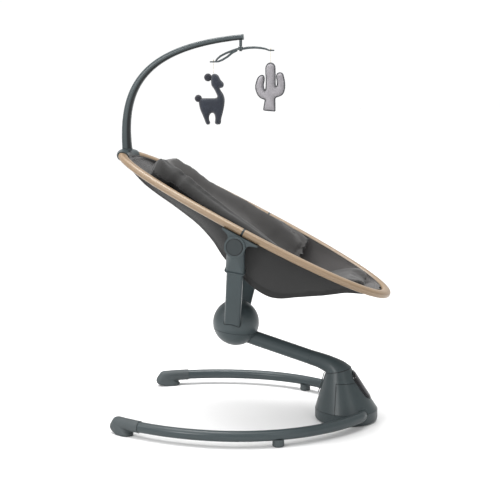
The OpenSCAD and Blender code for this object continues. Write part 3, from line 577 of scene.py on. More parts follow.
# ---------------------------------------------------------------- elbow
def elbow():
    """The hollow elbow between the arm and the housing, with a smooth bend."""
    lean = math.degrees(SWING_TILT)
    c, s = math.cos(SWING_TILT), math.sin(SWING_TILT)
    rows = [(ARM_END_X - 5.2, 132.7, 90 - ARM_FALL, 2 * ARM_R + 0.4), (157, 126.5, 70, 37.5), (167, 122, 58, 40.5),
            (173.5, 118.5, 45, 45), (177.5, 116.5, 32, 51.5), (179.5, 115.5, 21, 58),
            (SEAM_X - SEAM_R * c - GAP * s, SEAM_Z - SEAM_R * s + GAP * c, lean, 2 * SEAM_R)]
    rings = []
    for x, z, a, size in through(rows, 44):
        a = math.radians(a)
        ax, az = math.cos(a), math.sin(a)
        mx, mz = x + ax * size / 2, z + az * size / 2
        rings.append([Vector(((mx + ax * size / 2 * math.cos(b)) * MM, -size / 2 * math.sin(b) * MM,
                              (mz + az * size / 2 * math.cos(b)) * MM))
                      for b in (2 * math.pi * i / 56 for i in range(56))])
    piece = loft("elbow_cover", rings, MAT["frame_plastic"], "arm")
    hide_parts("arm_elbow")
    # A dark ring in the seam gap between the elbow and the housing: painted shade.
    groove = [swing_point((SEAM_R - 0.5) * math.cos(a), (SEAM_R - 0.5) * math.sin(a), 0.0)
              for a in (2 * math.pi * i / 72 for i in range(73))]
    tube("elbow_groove", groove, 0.9 * MM, GAP_SHADE, "arm")


elbow()


# ---------------------------------------------------------------- dark tubes in the gaps between the covers, as painted shade
HUB = (-43.0, 0.0, 230.0)
HUB_R, SPLIT_DROP, SPLIT_FALL = 57.0, 18.0, math.radians(6.6)
SPLIT_X, SPLIT_Z = SEAM_X - 1.5, 97.0


def surface_of(*nodes):
    from mathutils.bvhtree import BVHTree
    verts, faces = [], []
    for name in nodes:
        obj = NODE[name]
        base = len(verts)
        verts += [obj.matrix_world @ v.co for v in obj.data.vertices]
        faces += [[base + i for i in p.vertices] for p in obj.data.polygons]
    return BVHTree.FromPolygons(verts, faces)


def cast_line(tree, starts, direction, lift):
    """The places where parallel rays meet a surface, pulled back a little along the ray."""
    d = Vector(direction).normalized()
    hits = [tree.ray_cast(Vector(p), d)[0] for p in starts]
    return [h - d * lift for h in hits if h is not None]


def gaps():
    r = math.sqrt(HUB_R**2 - SPLIT_DROP**2) - 0.15
    c, s = math.cos(SPLIT_FALL), math.sin(SPLIT_FALL)
    seam = [Vector(((HUB[0] + r * math.cos(a) * c - SPLIT_DROP * s) * MM, r * math.sin(a) * MM,
                    (HUB[2] - SPLIT_DROP * c - r * math.cos(a) * s) * MM))
            for a in (2 * math.pi * i / 120 for i in range(121))]
    tube("hub_gap", seam, 0.55 * MM, GAP_SHADE, "arm", 8)
    covers = surface_of("housing_front", "housing_rear")
    for s, side in ((-1, "right"), (1, "left")):
        starts = [((SPLIT_X + 0.8) * MM, s * 0.3, (18 + 78 * k / 30) * MM) for k in range(31)]
        upright = cast_line(covers, starts, (0, -s, 0), -0.0001)
        tube(f"housing_gap_{side}", upright, 0.45 * MM, GAP_SHADE, "base", 8)
        low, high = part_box(f"recline_button_{side}")
        y = (low[1] + 0.0012) if s < 0 else (high[1] - 0.0012)
        x, z = (low[0] + high[0]) / 2, (low[2] + high[2]) / 2
        ring = [Vector((x + 0.0187 * math.cos(a), y, z + 0.0187 * math.sin(a)))
                for a in (2 * math.pi * i / 64 for i in range(65))]
        tube(f"button_gap_{side}", ring, 0.95 * MM, GAP_SHADE, "seat", 8)
    rear = [Vector((0.35 * math.cos(a) + SEAM_X * MM, 0.35 * math.sin(a), (SPLIT_Z - 0.5) * MM))
            for a in (math.pi * (k / 40 - 0.5) for k in range(41))]
    level = []
    for p in rear:
        level += cast_line(covers, [p], (SEAM_X * MM - p.x, -p.y, 0), -0.0001)
    tube("housing_level_gap", level, 0.45 * MM, GAP_SHADE, "base", 8)


gaps()


def strap_pockets():
    """A dark tube round each upright where it goes into the ball: painted shade of the gap."""
    foot = Vector((-41.0, STRAP_FOOT_Y, 244.5))
    top = Vector((HINGE[0], 175.25, HINGE[2]))
    axis = (top - foot).normalized()
    across = Vector((axis.z, 0, -axis.x)).normalized()
    thick = axis.cross(across)
    for s, side in ((-1, "right"), (1, "left")):
        line = []
        for i in range(73):
            a = 2 * math.pi * i / 72
            w = 20.3 * math.copysign(abs(math.cos(a)) ** 0.35, math.cos(a))
            h = 6.5 * math.copysign(abs(math.sin(a)) ** 0.5, math.sin(a))
            start = foot + across * w + thick * h - Vector(HUB)
            b, c = start.dot(axis), start.dot(start) - (HUB_R + 0.1) ** 2
            p = start + axis * (-b + math.sqrt(max(b * b - c, 0.0))) + Vector(HUB)
            line.append(Vector((p.x * MM, s * p.y * MM, p.z * MM)))
        tube(f"strap_pocket_{side}", line, 0.7 * MM, GAP_SHADE, "arm", 8)


strap_pockets()


# ---------------------------------------------------------------- arch
ARCH = [(-314.2, 655.0), (-325.5, 802.0), (-274.0, 899.5), (-25.7, 920.7)]
ARCH_FOOT, ARCH_TIP = 24.0, 12.6


def arch_at(t):
    a, b, c, d = (1 - t)**3, 3 * t * (1 - t)**2, 3 * t * t * (1 - t), t**3
    return tuple(a * ARCH[0][i] + b * ARCH[1][i] + c * ARCH[2][i] + d * ARCH[3][i] for i in (0, 1))


def arch_section(t, sides=40):
    """Points round the arch: a squared oval, a tenth wider across the swing than in the arch's own plane."""
    x, z = arch_at(t)
    ahead, back = arch_at(min(t + 0.01, 1.0)), arch_at(max(t - 0.01, 0.0))
    dx, dz = ahead[0] - back[0], ahead[1] - back[1]
    size = math.hypot(dx, dz)
    out = (-dz / size, dx / size)
    half = (ARCH_FOOT + (ARCH_TIP - ARCH_FOOT) * t**0.7) / 2
    ring = []
    for i in range(sides):
        a = 2 * math.pi * i / sides
        c = math.copysign(abs(math.cos(a)) ** 0.8, math.cos(a))
        s = math.copysign(abs(math.sin(a)) ** 0.8, math.sin(a))
        ring.append(Vector(((x + out[0] * half * c) * MM, -half * 1.1 * s * MM, (z + out[1] * half * c) * MM)))
    return ring


def arch():
    rings = [arch_section(k / 110) for k in range(111)]
    piece = loft("arch_bow", rings, MAT["frame_paint"], "arch")
    # Faces in two bands on the inner side take the near-black material: painted shade.
    piece.data.materials.append(ARCH_INNER_SHADE)
    for face in piece.data.polygons[:40 * 110]:
        if face.index % 40 in (12, 13, 14, 15, 16, 17, 22, 23, 24, 25, 26, 27):
            face.material_index = 1
    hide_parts("arch_tube")
    x, z = arch_at(1.0)
    ahead = arch_at(0.99)
    d = Vector((x - ahead[0], 0, z - ahead[1])).normalized()
    cap = []
    for along, grow in ((-1.5, 0.7), (-1.0, 1.0), (1.2, 1.0), (1.9, 0.55)):
        cap.append([Vector((x * MM, 0, z * MM)) + d * (along * MM) + (p - Vector((x * MM, 0, z * MM))) * (1 + 0.1 * grow)
                    for p in arch_section(1.0)])
    loft("arch_end_cap", cap, MAT["frame_paint"], "arch")


arch()


# ---------------------------------------------------------------- hammock
SAG = 12.0               # sag of the hammock's bottom between its seams
BOTTOM_HALF = 100.0      # half-width of that bottom
RIM_GAP = 0.9            # from the ring tube to the cloth


def rim(t, inset=0.0):
    """The cloth's edge inside the ring at angle t, as (along, half-width)."""
    (u, y), _ = ring_at(t, TUBE_W / 2 + RIM_GAP + inset)
    return u, y


def depth(u):
    return float(smooth_rows(u, DEPTH_ROWS))


def hammock_line(t, inset, side_steps, base_steps):
    """One line across the hammock from the right edge to the left one, in the ring's frame."""
    u, e = rim(t, inset)
    close = min(1.0, e / 60.0) ** 0.7
    d = max(depth(u) * close - inset, 0.5)
    f = min(min(BOTTOM_HALF, 0.86 * e) - 0.6 * inset, 0.97 * e)
    sag = SAG * min(1.0, d / 40.0)
    half = [(-e + (e - f) * (k / side_steps) ** 1.6, -d * k / side_steps) for k in range(side_steps)]
    base = [(f * s, -d - sag * (1 - s * s)) for s in (2 * k / base_steps - 1 for k in range(base_steps + 1))]
    return u, half + base + [(-y, z) for y, z in reversed(half)], f, d


def hammock():
    side_steps, base_steps, count = 14, 24, 110
    lines, seams = [], {-1: [], 1: []}
    for k in range(count + 1):
        t = math.radians(0.7 + 178.6 * k / count)
        u, line, f, d = hammock_line(t, 0.0, side_steps, base_steps)
        row = []
        for y, z in line:
            slack = min(1.0, abs(z) / 30.0)
            wave = slack * (0.9 * ripple((u, y, z), 60, 1) + 0.35 * ripple((u * 2, y, z * 0.5), 24, 2))
            row.append(seat_point(u, y + math.copysign(wave, y) * 0.8, z + wave * 0.5))
        lines.append(row)
        for s in seams:
            seams[s].append((u, s * f, -d))
    cloth = loft("hammock", lines, MAT["shell_fabric"], "seat", caps=False, closed=False, sharp=60)
    # The bottom between the seams and a band low on the sides take the near-black cloth: painted shade.
    cloth.data.materials.append(BASE_SHADE_CLOTH)
    across = 2 * side_steps + base_steps
    for face in cloth.data.polygons:
        u, y, z = seat_place(face.center)
        if side_steps <= face.index % across < side_steps + base_steps or z < (14.0 if u > -40.0 else 9.0) - depth(u):
            face.material_index = 1
    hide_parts("seat_shell")
    solid = cloth.modifiers.new("thickness", "SOLIDIFY")
    solid.thickness = 1.2 * MM
    solid.offset = 0.0
    for s, side in ((-1, "right"), (1, "left")):
        inner = seams[s][4:-4]
        tube(f"hammock_piping_{side}", [seat_point(u, y + s * 0.9, z + 0.3) for u, y, z in inner],
                           1.7 * MM, PIPING, "seat")
        tube(f"hammock_seam_{side}", [seat_point(u, y + s * 0.5, z + 6.0) for u, y, z in inner],
                           0.8 * MM, SEAM_AND_SHADE_DARK, "seat", 8)


hammock()


# ---------------------------------------------------------------- liner
LINER_IN, LINER_T = 3.2, 5.0
LIT_FOOT_FROM = 112.0


def liner():
    side_steps, base_steps, count = 12, 20, 120
    rings = []
    for k in range(count + 1):
        t = math.radians(2.0 + 176.0 * k / count)
        u, outer, _, _ = hammock_line(t, LINER_IN, side_steps, base_steps)
        v, inner, _, _ = hammock_line(t, LINER_IN + LINER_T, side_steps, base_steps)
        w = (u + v) / 2
        top = [(y, z + (2.6 if abs(z) < 1.0 else 0.0)) for y, z in inner]
        row = [seat_point(w, y, z) for y, z in outer]
        for y, z in reversed(top):
            puff_up = 1.5 * ripple((w, y, z), 38, 3) + 0.5 * ripple((w, y * 3, z), 13, 4)
            row.append(seat_point(w, y - math.copysign(0.5 * puff_up, y), z + puff_up))
        rings.append(row)
    piece = loft("liner", rings, LINER_CLOTH, "seat", sharp=70)
    # Faces past the foot line take the lighter copy of the liner cloth: painted light.
    piece.data.materials.append(FOOT_LIT_CLOTH)
    for face in piece.data.polygons:
        if seat_place(face.center)[0] > LIT_FOOT_FROM:
            face.material_index = 1
    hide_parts("seat_liner")
    edge = [seat_point(*rim_place(t)) for t in (math.radians(3 + 354 * k / 240) for k in range(241))]
    tube("liner_binding", edge, 1.5 * MM, MAT["inner_fabric"], "seat", 10)


def rim_place(t):
    (u, y), _ = ring_at(t, TUBE_W / 2 + RIM_GAP + 3.6)
    return u, y, 3.0


liner()


# ---------------------------------------------------------------- simulated stuffing
def puff(obj, voxel, cap, pressure=4.0, frames=20):
    """Blows a closed soft piece up a little as cloth, with no gravity, and keeps each point near its start."""
    remesh = obj.modifiers.new("remesh", "REMESH")
    remesh.mode = "VOXEL"
    remesh.voxel_size = voxel
    remesh.use_smooth_shade = True
    settle(obj)
    start = points_of(obj)
    cloth = obj.modifiers.new("cloth", "CLOTH")
    cloth.settings.quality = 5
    cloth.settings.mass = 0.25
    cloth.settings.tension_stiffness = 12
    cloth.settings.compression_stiffness = 12
    cloth.settings.bending_stiffness = 0.6
    cloth.settings.use_pressure = True
    cloth.settings.uniform_pressure_force = pressure
    cloth.settings.effector_weights.gravity = 0.0
    scene = bpy.context.scene
    for f in range(1, frames + 1):
        scene.frame_set(f)
    settle(obj)
    scene.frame_set(1)
    moved = points_of(obj) - start
    length = np.linalg.norm(moved, axis=1, keepdims=True)
    moved *= np.minimum(1.0, cap / np.maximum(length, 1e-9))
    obj.data.vertices.foreach_set("co", (start + moved).astype(np.float32).ravel())
    obj.data.polygons.foreach_set("use_smooth", [True] * len(obj.data.polygons))
    obj.data.update()


def settle(obj):
    """Replaces the mesh by what its modifiers make of it, and removes them."""
    graph = bpy.context.evaluated_depsgraph_get()
    graph.update()
    mesh = bpy.data.meshes.new_from_object(obj.evaluated_get(graph), depsgraph=graph)
    materials = list(obj.data.materials)
    obj.modifiers.clear()
    obj.data = mesh
    if not mesh.materials:
        for m in materials:
            mesh.materials.append(m)


def points_of(obj):
    co = np.zeros(len(obj.data.vertices) * 3)
    obj.data.vertices.foreach_get("co", co)
    return co.reshape(-1, 3)


def subdivide(obj, levels=1):
    sub = obj.modifiers.new("smooth", "SUBSURF")
    sub.levels = sub.render_levels = levels


def on_surface(obj, path, lift=0.0):
    """Each point of a path moved to the nearest place on a piece, and lifted off it."""
    from mathutils.bvhtree import BVHTree
    obj.data.calc_loop_triangles()
    tree = BVHTree.FromPolygons([v.co for v in obj.data.vertices], [p.vertices for p in obj.data.polygons])
    out = []
    for p in path:
        at, normal, _, _ = tree.find_nearest(Vector(p))
        out.append(at + normal * lift)
    return out


# ---------------------------------------------------------------- newborn inlay
INLAY_FROM, INLAY_TO = -290.0, 128.0
WING_FAR = [(-290, 34), (-280, 41), (-266, 42), (-247, 37), (-220, 30), (-194, 23), (-164, 16),
            (-135, 14), (-60, 14), (20, 15), (70, 14), (100, 11), (128, 5)]
WING_NEAR = [(-290, 42), (-280, 49), (-266, 47), (-250, 44), (-226, 44), (-210, 41), (-200, 37), (-188, 38),
             (-150, 35), (-122, 30), (-76, 25), (-30, 21), (30, 15), (79, 8), (110, 3), (128, -1)]
HOLLOW = [(-290, 26), (-280, 29), (-262, 24), (-240, 6), (-215, -14), (-185, -21), (-120, -27),
          (-60, -38), (0, -57), (60, -79), (100, -86), (128, -84)]
RIM_TABLE = sorted(rim(math.radians(0.5 + 179 * k / 400)) for k in range(401))


def rim_half(u):
    return float(np.interp(u, [r[0] for r in RIM_TABLE], [r[1] for r in RIM_TABLE]))


def rise_at(u):
    """Height of the inlay's outer edge over the ring's middle."""
    return float(np.interp(u, [-314, -240, -215, -190, -150, -120, -60, 128], [10, 13, 16, 14, 10, 8, 4, 1]))


def hammock_side(u, z, margin):
    """Half-width inside the hammock and its liner at a height z under the ring, less a margin."""
    e = rim_half(u)
    f = min(BOTTOM_HALF, 0.86 * e)
    s = min(max(-z / max(depth(u), 1.0), 0.0), 1.0)
    return e - (e - f) * s**1.6 - margin


def inlay_section(u):
    e = rim_half(u)
    room = 10.5
    low = max(depth(u) - room, 1.0)
    floor = min(BOTTOM_HALF, 0.86 * e) - room
    middle = float(smooth_rows(u, HOLLOW))
    rise = rise_at(u)
    inset = float(np.interp(u, [-314, -240, -212, -190, -120, -60, 128], [23, 26, 30, 27, 18, 13, 12]))
    tuck = float(np.interp(u, [-300, -240, -212, -120, -60], [4, 8, 20, 10, 0]))
    crest = float(np.interp(u, [-314, -212, -190, -60, 128], [47, 52, 48, 34, 27]))
    out = [(0.0, -low - SAG * min(1.0, low / 40.0) * 0.8)]
    sides = []
    for s, h in ((1, float(smooth_rows(u, WING_FAR))), (-1, float(smooth_rows(u, WING_NEAR)))):
        edge, top = e - inset, max(e - crest, 0.5 * e)
        inner = max(top - 32.0, 0.25 * e)
        wall = middle + (h - middle) * 0.40
        near_low = min(hammock_side(u, -low * 0.75, 13.0), edge - tuck - 3)
        mid_low = min(hammock_side(u, -low * 0.38, 13.0), edge - tuck)
        sides.append([(s * min(floor, edge - tuck) * 0.75, -low - 2), (s * near_low, -low * 0.75),
                      (s * mid_low, -low * 0.38), (s * (edge - 0.4 * tuck), rise - 7), (s * edge, rise),
                      (s * (edge - 2.5), rise + (h - rise) * 0.5), (s * (edge * 0.55 + top * 0.45), rise + (h - rise) * 0.88),
                      (s * top, h), (s * (top - 12.0), h - 0.14 * (h - middle)),
                      (s * inner, wall), (s * inner * 0.62, middle + (h - middle) * 0.10)])
    return out + sides[0] + [(0.0, middle)] + list(reversed(sides[1]))


def slant(u, y):
    """How far the inlay's rounded top corners fall back towards the foot."""
    return 58.0 * min(1.0, abs(y) / rim_half(u)) ** 3 * min(1.0, max(0.0, (-190.0 - u) / 100.0))


def wrinkle(u, y, z):
    """Sharp folds running across the wings, strongest behind the baby's shoulders."""
    where = math.exp(-((u + 150.0) / 60.0) ** 2) + 0.35 * math.exp(-((u + 265.0) / 30.0) ** 2)
    folds = max(0.0, 1.0 - 5.0 * abs(ripple((u + 0.7 * z, 0.12 * y, 3.0), 26, 15)))
    return -2.6 * where * folds


def inlay():
    around, count = 84, 96
    rings = []
    for k in range(count + 1):
        u = INLAY_FROM + (INLAY_TO - INLAY_FROM) * k / count
        head = min(1.0, (u - INLAY_FROM + 0.8) / 16.0)
        front = min(1.0, (INLAY_TO - u + 0.8) / 4.0)
        s = math.sqrt(max(0.0, 1 - (1 - head) ** 2)) * math.sqrt(max(0.0, 1 - (1 - front) ** 2))
        section = through(inlay_section(u), around, closed=True)
        middle = section.mean(axis=0)
        ring = []
        for y, z in section:
            y = middle[0] + (y - middle[0]) * (0.25 + 0.75 * s) if s < 1 else y
            z = middle[1] + (z - middle[1]) * s if s < 1 else z
            crease = 1.3 * ripple((u, y * 0.35, z), 30, 5) + 0.6 * ripple((u, y, z), 12, 6) + wrinkle(u, y, z)
            ring.append(seat_point(u + slant(u, y), y - math.copysign(0.4 * crease, y), z + crease))
        rings.append(ring)
    piece = loft("newborn_inlay_pad", rings, MAT["inner_fabric"], "seat", sharp=70)
    puff(piece, 0.005, 0.006)
    subdivide(piece)
    piece.data.materials.append(SEAM_AND_SHADE_DARK)
    piece.data.materials.append(INLAY_OUTER_SHADE)
    # Wing undersides at the head take the seam's near-black cloth and the outward-facing sides take the darker inlay
    # cloth: both painted shade.
    for face in piece.data.polygons:
        u, y, z = seat_place(face.center)
        outside = z < rise_at(u) - 4.0 and y * face.normal.y > 0 and abs(y) > 0.55 * rim_half(u)
        if outside and u < -60.0:
            face.material_index = 1
        elif y * face.normal.y > -0.3 * abs(y) and abs(y) > 0.4 * rim_half(u):
            face.material_index = 2
    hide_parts("newborn_inlay")
    for s, side in ((-1, "right"), (1, "left")):
        path = [seat_point(u, s * (rim_half(u) - 8.0), 3.0) for u in np.linspace(-300, 118, 90)]
        tube(f"inlay_seam_{side}", on_surface(piece, path, 0.0004), 0.9 * MM, SEAM_AND_SHADE_DARK, "seat", 8)
    # A real seam drawn wide and dark, partly as painted shade under the inlay's front edge.
    front = [seat_point(INLAY_TO - 3.0, y, z) for y, z in through(inlay_section(INLAY_TO), 2 * around, closed=True)]
    tube("inlay_front_seam", on_surface(piece, front + front[:1], 0.0004), 1.5 * MM, SEAM_AND_SHADE_DARK, "seat",
         8)


inlay()


# ---------------------------------------------------------------- foot pad
def foot_pad():
    """A puffed pad sewn into the foot of the liner, behind a curved seam."""
    rings = []
    for k in range(41):
        u = 196.0 + 104.0 * k / 40
        e = rim_half(u)
        s = math.sqrt(max(0.02, 1 - abs(2 * k / 40 - 1) ** 2.6))
        half = min(e - 10.0, 92.0) * (0.55 + 0.45 * s)
        base = -max(depth(u) - 9.5, 1.0)
        lift = 15.0 * s
        section = [(0, base - 4), (half * 0.5, base - 3), (half * 0.86, base + 3), (half, base + 9 + lift * 0.3),
                   (half * 0.9, base + 10 + lift * 0.9), (half * 0.55, base + lift + 2), (0, base + lift)]
        section += [(-y, z) for y, z in reversed(section[1:-1])]
        ring = [seat_point(u, y, z + 0.8 * ripple((u, y, z), 18, 9)) for y, z in through(section, 48, closed=True)]
        rings.append(ring)
    piece = loft("foot_pad", rings, FOOT_PAD_CLOTH, "seat", sharp=70)
    puff(piece, 0.004, 0.005)
    subdivide(piece)
    seam = [seat_point(198.0 - 0.0008 * y * y, y, -max(depth(198.0) - 14.0, 1.0) + 0.0042 * y * y)
            for y in np.linspace(-88, 88, 50)]
    tube("foot_pad_seam", on_surface(piece, seam, 0.0), 0.9 * MM, SEAM_AND_SHADE_DARK, "seat", 8)


foot_pad()


# ---------------------------------------------------------------- harness
def strap(name, path, width, thick, width_dir, node=None):
    """A flat web along a path, with round edges; width_dir is the direction of its width."""
    across = Vector(width_dir).normalized()
    rings = []
    for k, p in enumerate(path):
        t = (path[min(k + 1, len(path) - 1)] - path[max(k - 1, 0)]).normalized()
        up = t.cross(across).normalized()
        rings.append([p + across * (width / 2 * math.copysign(abs(math.cos(a)) ** 0.25, math.cos(a)))
                      + up * (thick / 2 * math.copysign(abs(math.sin(a)) ** 0.7, math.sin(a)))
                      for a in (2 * math.pi * i / 24 for i in range(24))])
    piece = loft(name, rings, MAT["webbing"], "seat")
    if node:
        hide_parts(node)
    return piece


def harness():
    u0, floor = 62.0, -max(depth(62.0) - 10.2 - 26.0, 0.0)
    across = seat_point(0, 1, 0) - seat_point(0, 0, 0)
    along = (seat_point(1, 0, 0) - seat_point(0, 0, 0)).normalized()
    crotch = [seat_point(*p) for p in through([(u0 + 12, 0, floor - 6), (u0 + 8, 0, floor + 6),
                                               (u0 + 4, 0, floor + 18), (u0 + 1, 0, floor + 32)], 16)]
    strap("crotch_web", crotch, 28 * MM, 2.2 * MM, across, "crotch_strap")
    for s, side in ((-1, "right"), (1, "left")):
        path = [seat_point(*p) for p in through([(u0, s * 18, floor + 35), (u0 - 2, s * 32, floor + 36),
                                                 (u0 - 6, s * 50, floor + 34), (u0 - 12, s * 66, floor + 24),
                                                 (u0 - 16, s * 74, floor + 8)], 22)]
        strap(f"waist_web_{side}", path, 25 * MM, 2.0 * MM, along)
    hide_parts("waist_straps")
    rings = []
    for k in range(15):
        a = math.pi * (k / 14 - 0.5)
        shrink = abs(math.cos(a)) ** 0.35
        h = 6.2 * math.sin(a)
        rings.append([seat_point(u0 + (20.5 * shrink - 1.0) * math.copysign(abs(math.cos(b)) ** 0.55, math.cos(b)),
                                 (24.5 * shrink - 1.0) * math.copysign(abs(math.sin(b)) ** 0.55, math.sin(b)),
                                 floor + 36 + h - 0.10 * (20 * math.cos(b)))
                      for b in (2 * math.pi * i / 48 for i in range(48))])
    buckle = loft("buckle_body", rings, MAT["buckle_plastic"], "seat")
    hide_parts("harness_buckle")
    dome = []
    for k in range(9):
        r = 9.0 * math.cos(math.pi / 2 * k / 8.4) ** 0.5
        dome.append([seat_point(u0 + r * math.cos(b), r * math.sin(b), floor + 41.4 + 1.6 * k / 8)
                     for b in (2 * math.pi * i / 36 for i in range(36))])
    loft("buckle_button", dome, MAT["frame_plastic"], "seat")


harness()


# ---------------------------------------------------------------- toys
def capsule(p, a, b, r):
    a, b = np.array(a, float), np.array(b, float)
    d = b - a
    t = np.clip(((p - a) @ d) / max(d @ d, 1e-9), 0, 1)
    return np.linalg.norm(p - (a + t[:, None] * d), axis=1) - r


def chain(p, path, r):
    return np.min([capsule(p, path[k], path[k + 1], r) for k in range(len(path) - 1)], axis=0)


def polygon(p, corners):
    c = np.array(corners, float)
    best = np.full(len(p), 1e9)
    inside = np.zeros(len(p), bool)
    for k in range(len(c)):
        a, b = c[k], c[(k + 1) % len(c)]
        best = np.minimum(best, capsule(p, a, b, 0.0))
        crosses = ((a[1] > p[:, 1]) != (b[1] > p[:, 1]))
        with np.errstate(divide="ignore", invalid="ignore"):
            at = (b[0] - a[0]) * (p[:, 1] - a[1]) / (b[1] - a[1]) + a[0]
        inside ^= crosses & (p[:, 0] < at)
    return np.where(inside, -best, best)


def blend_min(parts, k=4.0):
    out = parts[0]
    for d in parts[1:]:
        h = np.clip(0.5 + 0.5 * (d - out) / k, 0, 1)
        out = d + (out - d) * h - k * h * (1 - h)
    return out


LLAMA = [(0, -1), (7, -2), (12, -6), (16, -14), (20, -18.5), (24, -23), (24, -29.5), (20, -33.5), (14, -34),
         (17.5, -41), (23, -49), (26, -58), (26.5, -66), (24.5, -81), (21.5, -94), (18, -107), (16, -119.5), (4, -119),
         (4.5, -107), (3, -98), (-1, -93), (-5.5, -93), (-10, -97), (-12, -103.5), (-11.5, -111), (-9, -118),
         (-14, -121.5), (-18, -120), (-22, -110), (-27.5, -97), (-33, -84), (-36, -68), (-34.5, -60.5), (-29, -59),
         (-16, -59), (0, -59), (7, -58), (10, -55), (7.5, -47.5), (1.5, -36), (-4, -29), (-5.5, -21.5), (-5.5, -11),
         (-4, -4.5)]
EAR, TAIL = (-13.7, -9.1), (-37.8, -59.0)
CACTUS = [(-6, -2), (0, 0), (6, -2), (10.5, -8), (11, -20), (11.5, -34), (11.5, -48), (12.5, -54.5), (15, -54.5),
          (16.3, -50), (15.5, -40), (14.2, -31), (16.5, -25), (22, -23), (28.5, -25), (31.5, -33), (34, -46),
          (34, -59), (31.5, -69), (27, -75), (19.5, -78.5), (11.5, -82), (11, -93), (11.3, -108), (11.5, -113.3),
          (7, -113), (-12, -111.5), (-17, -111), (-16, -106), (-14, -93), (-13, -86.5), (-22.5, -82.5), (-29.5, -76), (-34.5, -65.5), (-36, -55), (-33.5, -43.5),
          (-29.5, -34), (-22.5, -29), (-17.5, -29.5), (-15, -34), (-15.3, -42), (-17, -51), (-16.2, -59), (-13, -64.5),
          (-11, -58), (-10.5, -38), (-11.5, -22), (-11, -9)]


def llama_shape(p):
    return polygon(p, through(LLAMA, 170, closed=True))


def cactus_shape(p):
    return polygon(p, through(CACTUS, 170, closed=True))


def plush(name, shape, box, tip, top, half_t, round_r, lip, material, body, node, step=1.3):
    """A stuffed toy: an outline from a distance field, swollen on both sides, closed along its edge seam."""
    xs = np.arange(box[0], box[1] + step, step)
    zs = np.arange(box[2], box[3] + step, step)
    grid = np.array([(x, z) for z in zs for x in xs])
    d = shape(grid)
    e = 0.05
    grad = np.stack([(shape(grid + (e, 0)) - shape(grid - (e, 0))) / (2 * e),
                     (shape(grid + (0, e)) - shape(grid - (0, e))) / (2 * e)], axis=1)
    near = np.abs(d) < 0.75 * step
    grid[near] -= grad[near] * d[near][:, None]
    kept = (d < 0) | near
    d = np.where(near, 0.0, d)
    nx = len(xs)
    cells = []
    for j in range(len(zs) - 1):
        for i in range(nx - 1):
            q = (j * nx + i, j * nx + i + 1, (j + 1) * nx + i + 1, (j + 1) * nx + i)
            good = [k for k in q if kept[k]]
            if len(good) >= 3 and min(d[k] for k in good) < 0:
                cells.append(tuple(good))
    used = sorted({k for c in cells for k in c})
    index = {k: n for n, k in enumerate(used)}
    verts, uvs, back = [], [], {}
    for k in used:
        s = min(1.0, max(0.0, (-d[k] - lip) / round_r))
        thin = min(1.0, -d[k] / 0.8) * 0.9
        h = thin + (half_t - 0.9) * math.sqrt(max(0.0, 1 - (1 - s) ** 2))
        h += (0.5 * ripple((grid[k][0], grid[k][1], 3), 9, 11) + 0.25 * ripple((grid[k][0], grid[k][1], 5), 4, 12)) * s
        verts.append(Vector(((tip[0] + grid[k][0]) * MM, -h * MM, (top + grid[k][1]) * MM)))
        uvs.append((grid[k][0] * MM, grid[k][1] * MM))
    for k in used:
        if d[k] == 0.0:
            back[k] = index[k]
        else:
            back[k] = len(verts)
            v = verts[index[k]]
            verts.append(Vector((v.x, -v.y, v.z)))
            uvs.append(uvs[index[k]])
    faces = [tuple(index[k] for k in c) for c in cells] + [tuple(back[k] for k in reversed(c)) for c in cells]
    piece = mesh_piece(name, verts, faces, material, body, uvs, 80)
    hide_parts(node)
    edges = {}
    for c in cells:
        for a, b in zip(c, c[1:] + c[:1]):
            key = (min(a, b), max(a, b))
            edges[key] = edges.get(key, 0) + 1
    border = {}
    for (a, b), n in edges.items():
        if n == 1:
            border.setdefault(a, []).append(b)
            border.setdefault(b, []).append(a)
    loops, seen = [], set()
    for start in border:
        if start in seen:
            continue
        at, line = start, [start]
        seen.add(start)
        while True:
            following = [k for k in border[at] if k not in seen]
            if not following:
                break
            at = following[0]
            seen.add(at)
            line.append(at)
        loops.append([verts[index[k]] for k in line])
    return piece, max(loops, key=len)


def even(path, spacing, closed=True):
    """Points at an even spacing along a path, smoothed."""
    p = np.array([tuple(v) for v in path])
    for _ in range(3):
        p = (np.roll(p, 1, axis=0) + 2 * p + np.roll(p, -1, axis=0)) / 4
    if closed:
        p = np.vstack([p, p[:1]])
    length = np.concatenate([[0], np.cumsum(np.linalg.norm(np.diff(p, axis=0), axis=1))])
    at = np.arange(0, length[-1], spacing)
    return [Vector([np.interp(s, length, p[:, i]) for i in range(3)]) for s in at]


def stitches(name, path, reach, material, body):
    """Whip stitches over the edge of a toy: one short bar from face to face at each point."""
    verts, faces = [], []
    turning = sum(path[k - 1].x * p.z - path[k - 1].z * p.x for k, p in enumerate(path))
    turn = -1.0 if turning > 0 else 1.0
    for k, p in enumerate(path):
        t = (path[(k + 1) % len(path)] - path[k - 1]).normalized()
        out = Vector((-t.z, 0, t.x)) * turn
        arc = [p + out * (across * MM) + Vector((0, y * MM, 0))
               for across, y in ((-reach, -1.9), (-reach * 0.5, -1.5), (0.5, -1.0), (0.9, 0.0), (0.5, 1.0),
                                 (-reach * 0.5, 1.5), (-reach, 1.9))]
        for ring in tube_rings(arc, 0.0006, 6):
            verts += ring
        base = len(verts) - 7 * 6
        faces += [(base + j * 6 + i, base + j * 6 + (i + 1) % 6, base + (j + 1) * 6 + (i + 1) % 6,
                   base + (j + 1) * 6 + i) for j in range(6) for i in range(6)]
    return mesh_piece(name, verts, faces, material, body)


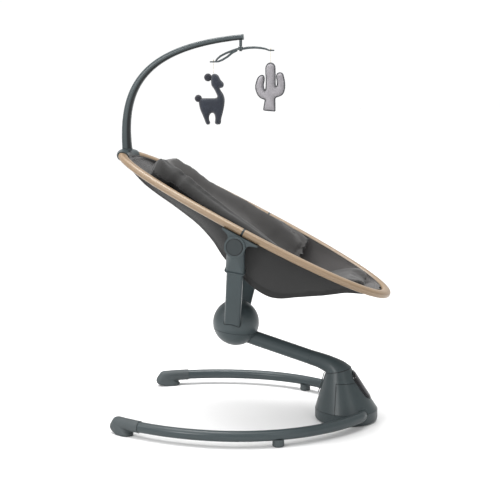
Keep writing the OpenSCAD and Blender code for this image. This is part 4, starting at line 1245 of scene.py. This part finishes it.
def pompom(name, at, r, thick, material, body):
    rings = []
    for k in range(17):
        a = math.pi * (k + 0.4) / 16.8
        ring = []
        for i in range(28):
            b = 2 * math.pi * i / 28
            d = Vector((math.sin(a) * math.cos(b), math.cos(a), math.sin(a) * math.sin(b)))
            s = 1 + 0.10 * ripple(d * 10, 3.2, 21)
            ring.append(Vector(at) + Vector((d.x * r * s, d.y * thick * s, d.z * r * s)))
        rings.append(ring)
    return loft(name, rings, material, body)


def toys():
    at = Vector((LEFT_TIP[0] * MM, 0, LLAMA_TOP * MM))
    _, outline = plush("llama_plush", llama_shape, (-39, 30, -126, 3), LEFT_TIP, LLAMA_TOP, 8.0, 9.0, 0.8,
                       MAT["llama_felt"], "llama_toy", "llama")
    edge = even(outline, 1.5 * MM)
    tube("llama_edge", edge + edge[:1], 0.6 * MM, LLAMA_DARK, "llama_toy", 8)
    pompom("llama_ear", at + Vector((EAR[0] * MM, 0, EAR[1] * MM)), 9.4 * MM, 7 * MM, LLAMA_DARK, "llama_toy")
    pompom("llama_tail", at + Vector((TAIL[0] * MM, 0, TAIL[1] * MM)), 8.8 * MM, 7.4 * MM, LLAMA_DARK, "llama_toy")
    _, outline = plush("cactus_plush", cactus_shape, (-39, 38, -117, 3), RIGHT_TIP, CACTUS_TOP, 8.0, 7.5, 2.0,
                       MAT["cactus_felt"], "cactus_toy", "cactus")
    edge = even(outline, 1.5 * MM)
    tube("cactus_edge", edge + edge[:1], 1.0 * MM, STITCH, "cactus_toy", 8)
    stitches("cactus_stitches", even(outline, 3.0 * MM), 2.4, STITCH, "cactus_toy")


toys()


# ---------------------------------------------------------------- strings
def string(name, tip, toy_top, body, node):
    top, low = tip[2] + 3.0, toy_top + 0.3
    path = [Vector((tip[0] * MM, 0, (top + (low - top) * k / 15) * MM)) for k in range(16)]
    piece = tube(name, path, STRING_D / 2 * MM, MAT["string"], body, 12)
    at = Vector((tip[0] * MM, 0, (tip[2] + 3.7) * MM))
    knot = pompom(name + "_knot", at, 1.75 * MM, 1.75 * MM, MAT["string"], body)
    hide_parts(node)


string("llama_thread", LEFT_TIP, LLAMA_TOP, "llama_cord", "llama_string")
string("cactus_thread", RIGHT_TIP, CACTUS_TOP, "cactus_cord", "cactus_string")
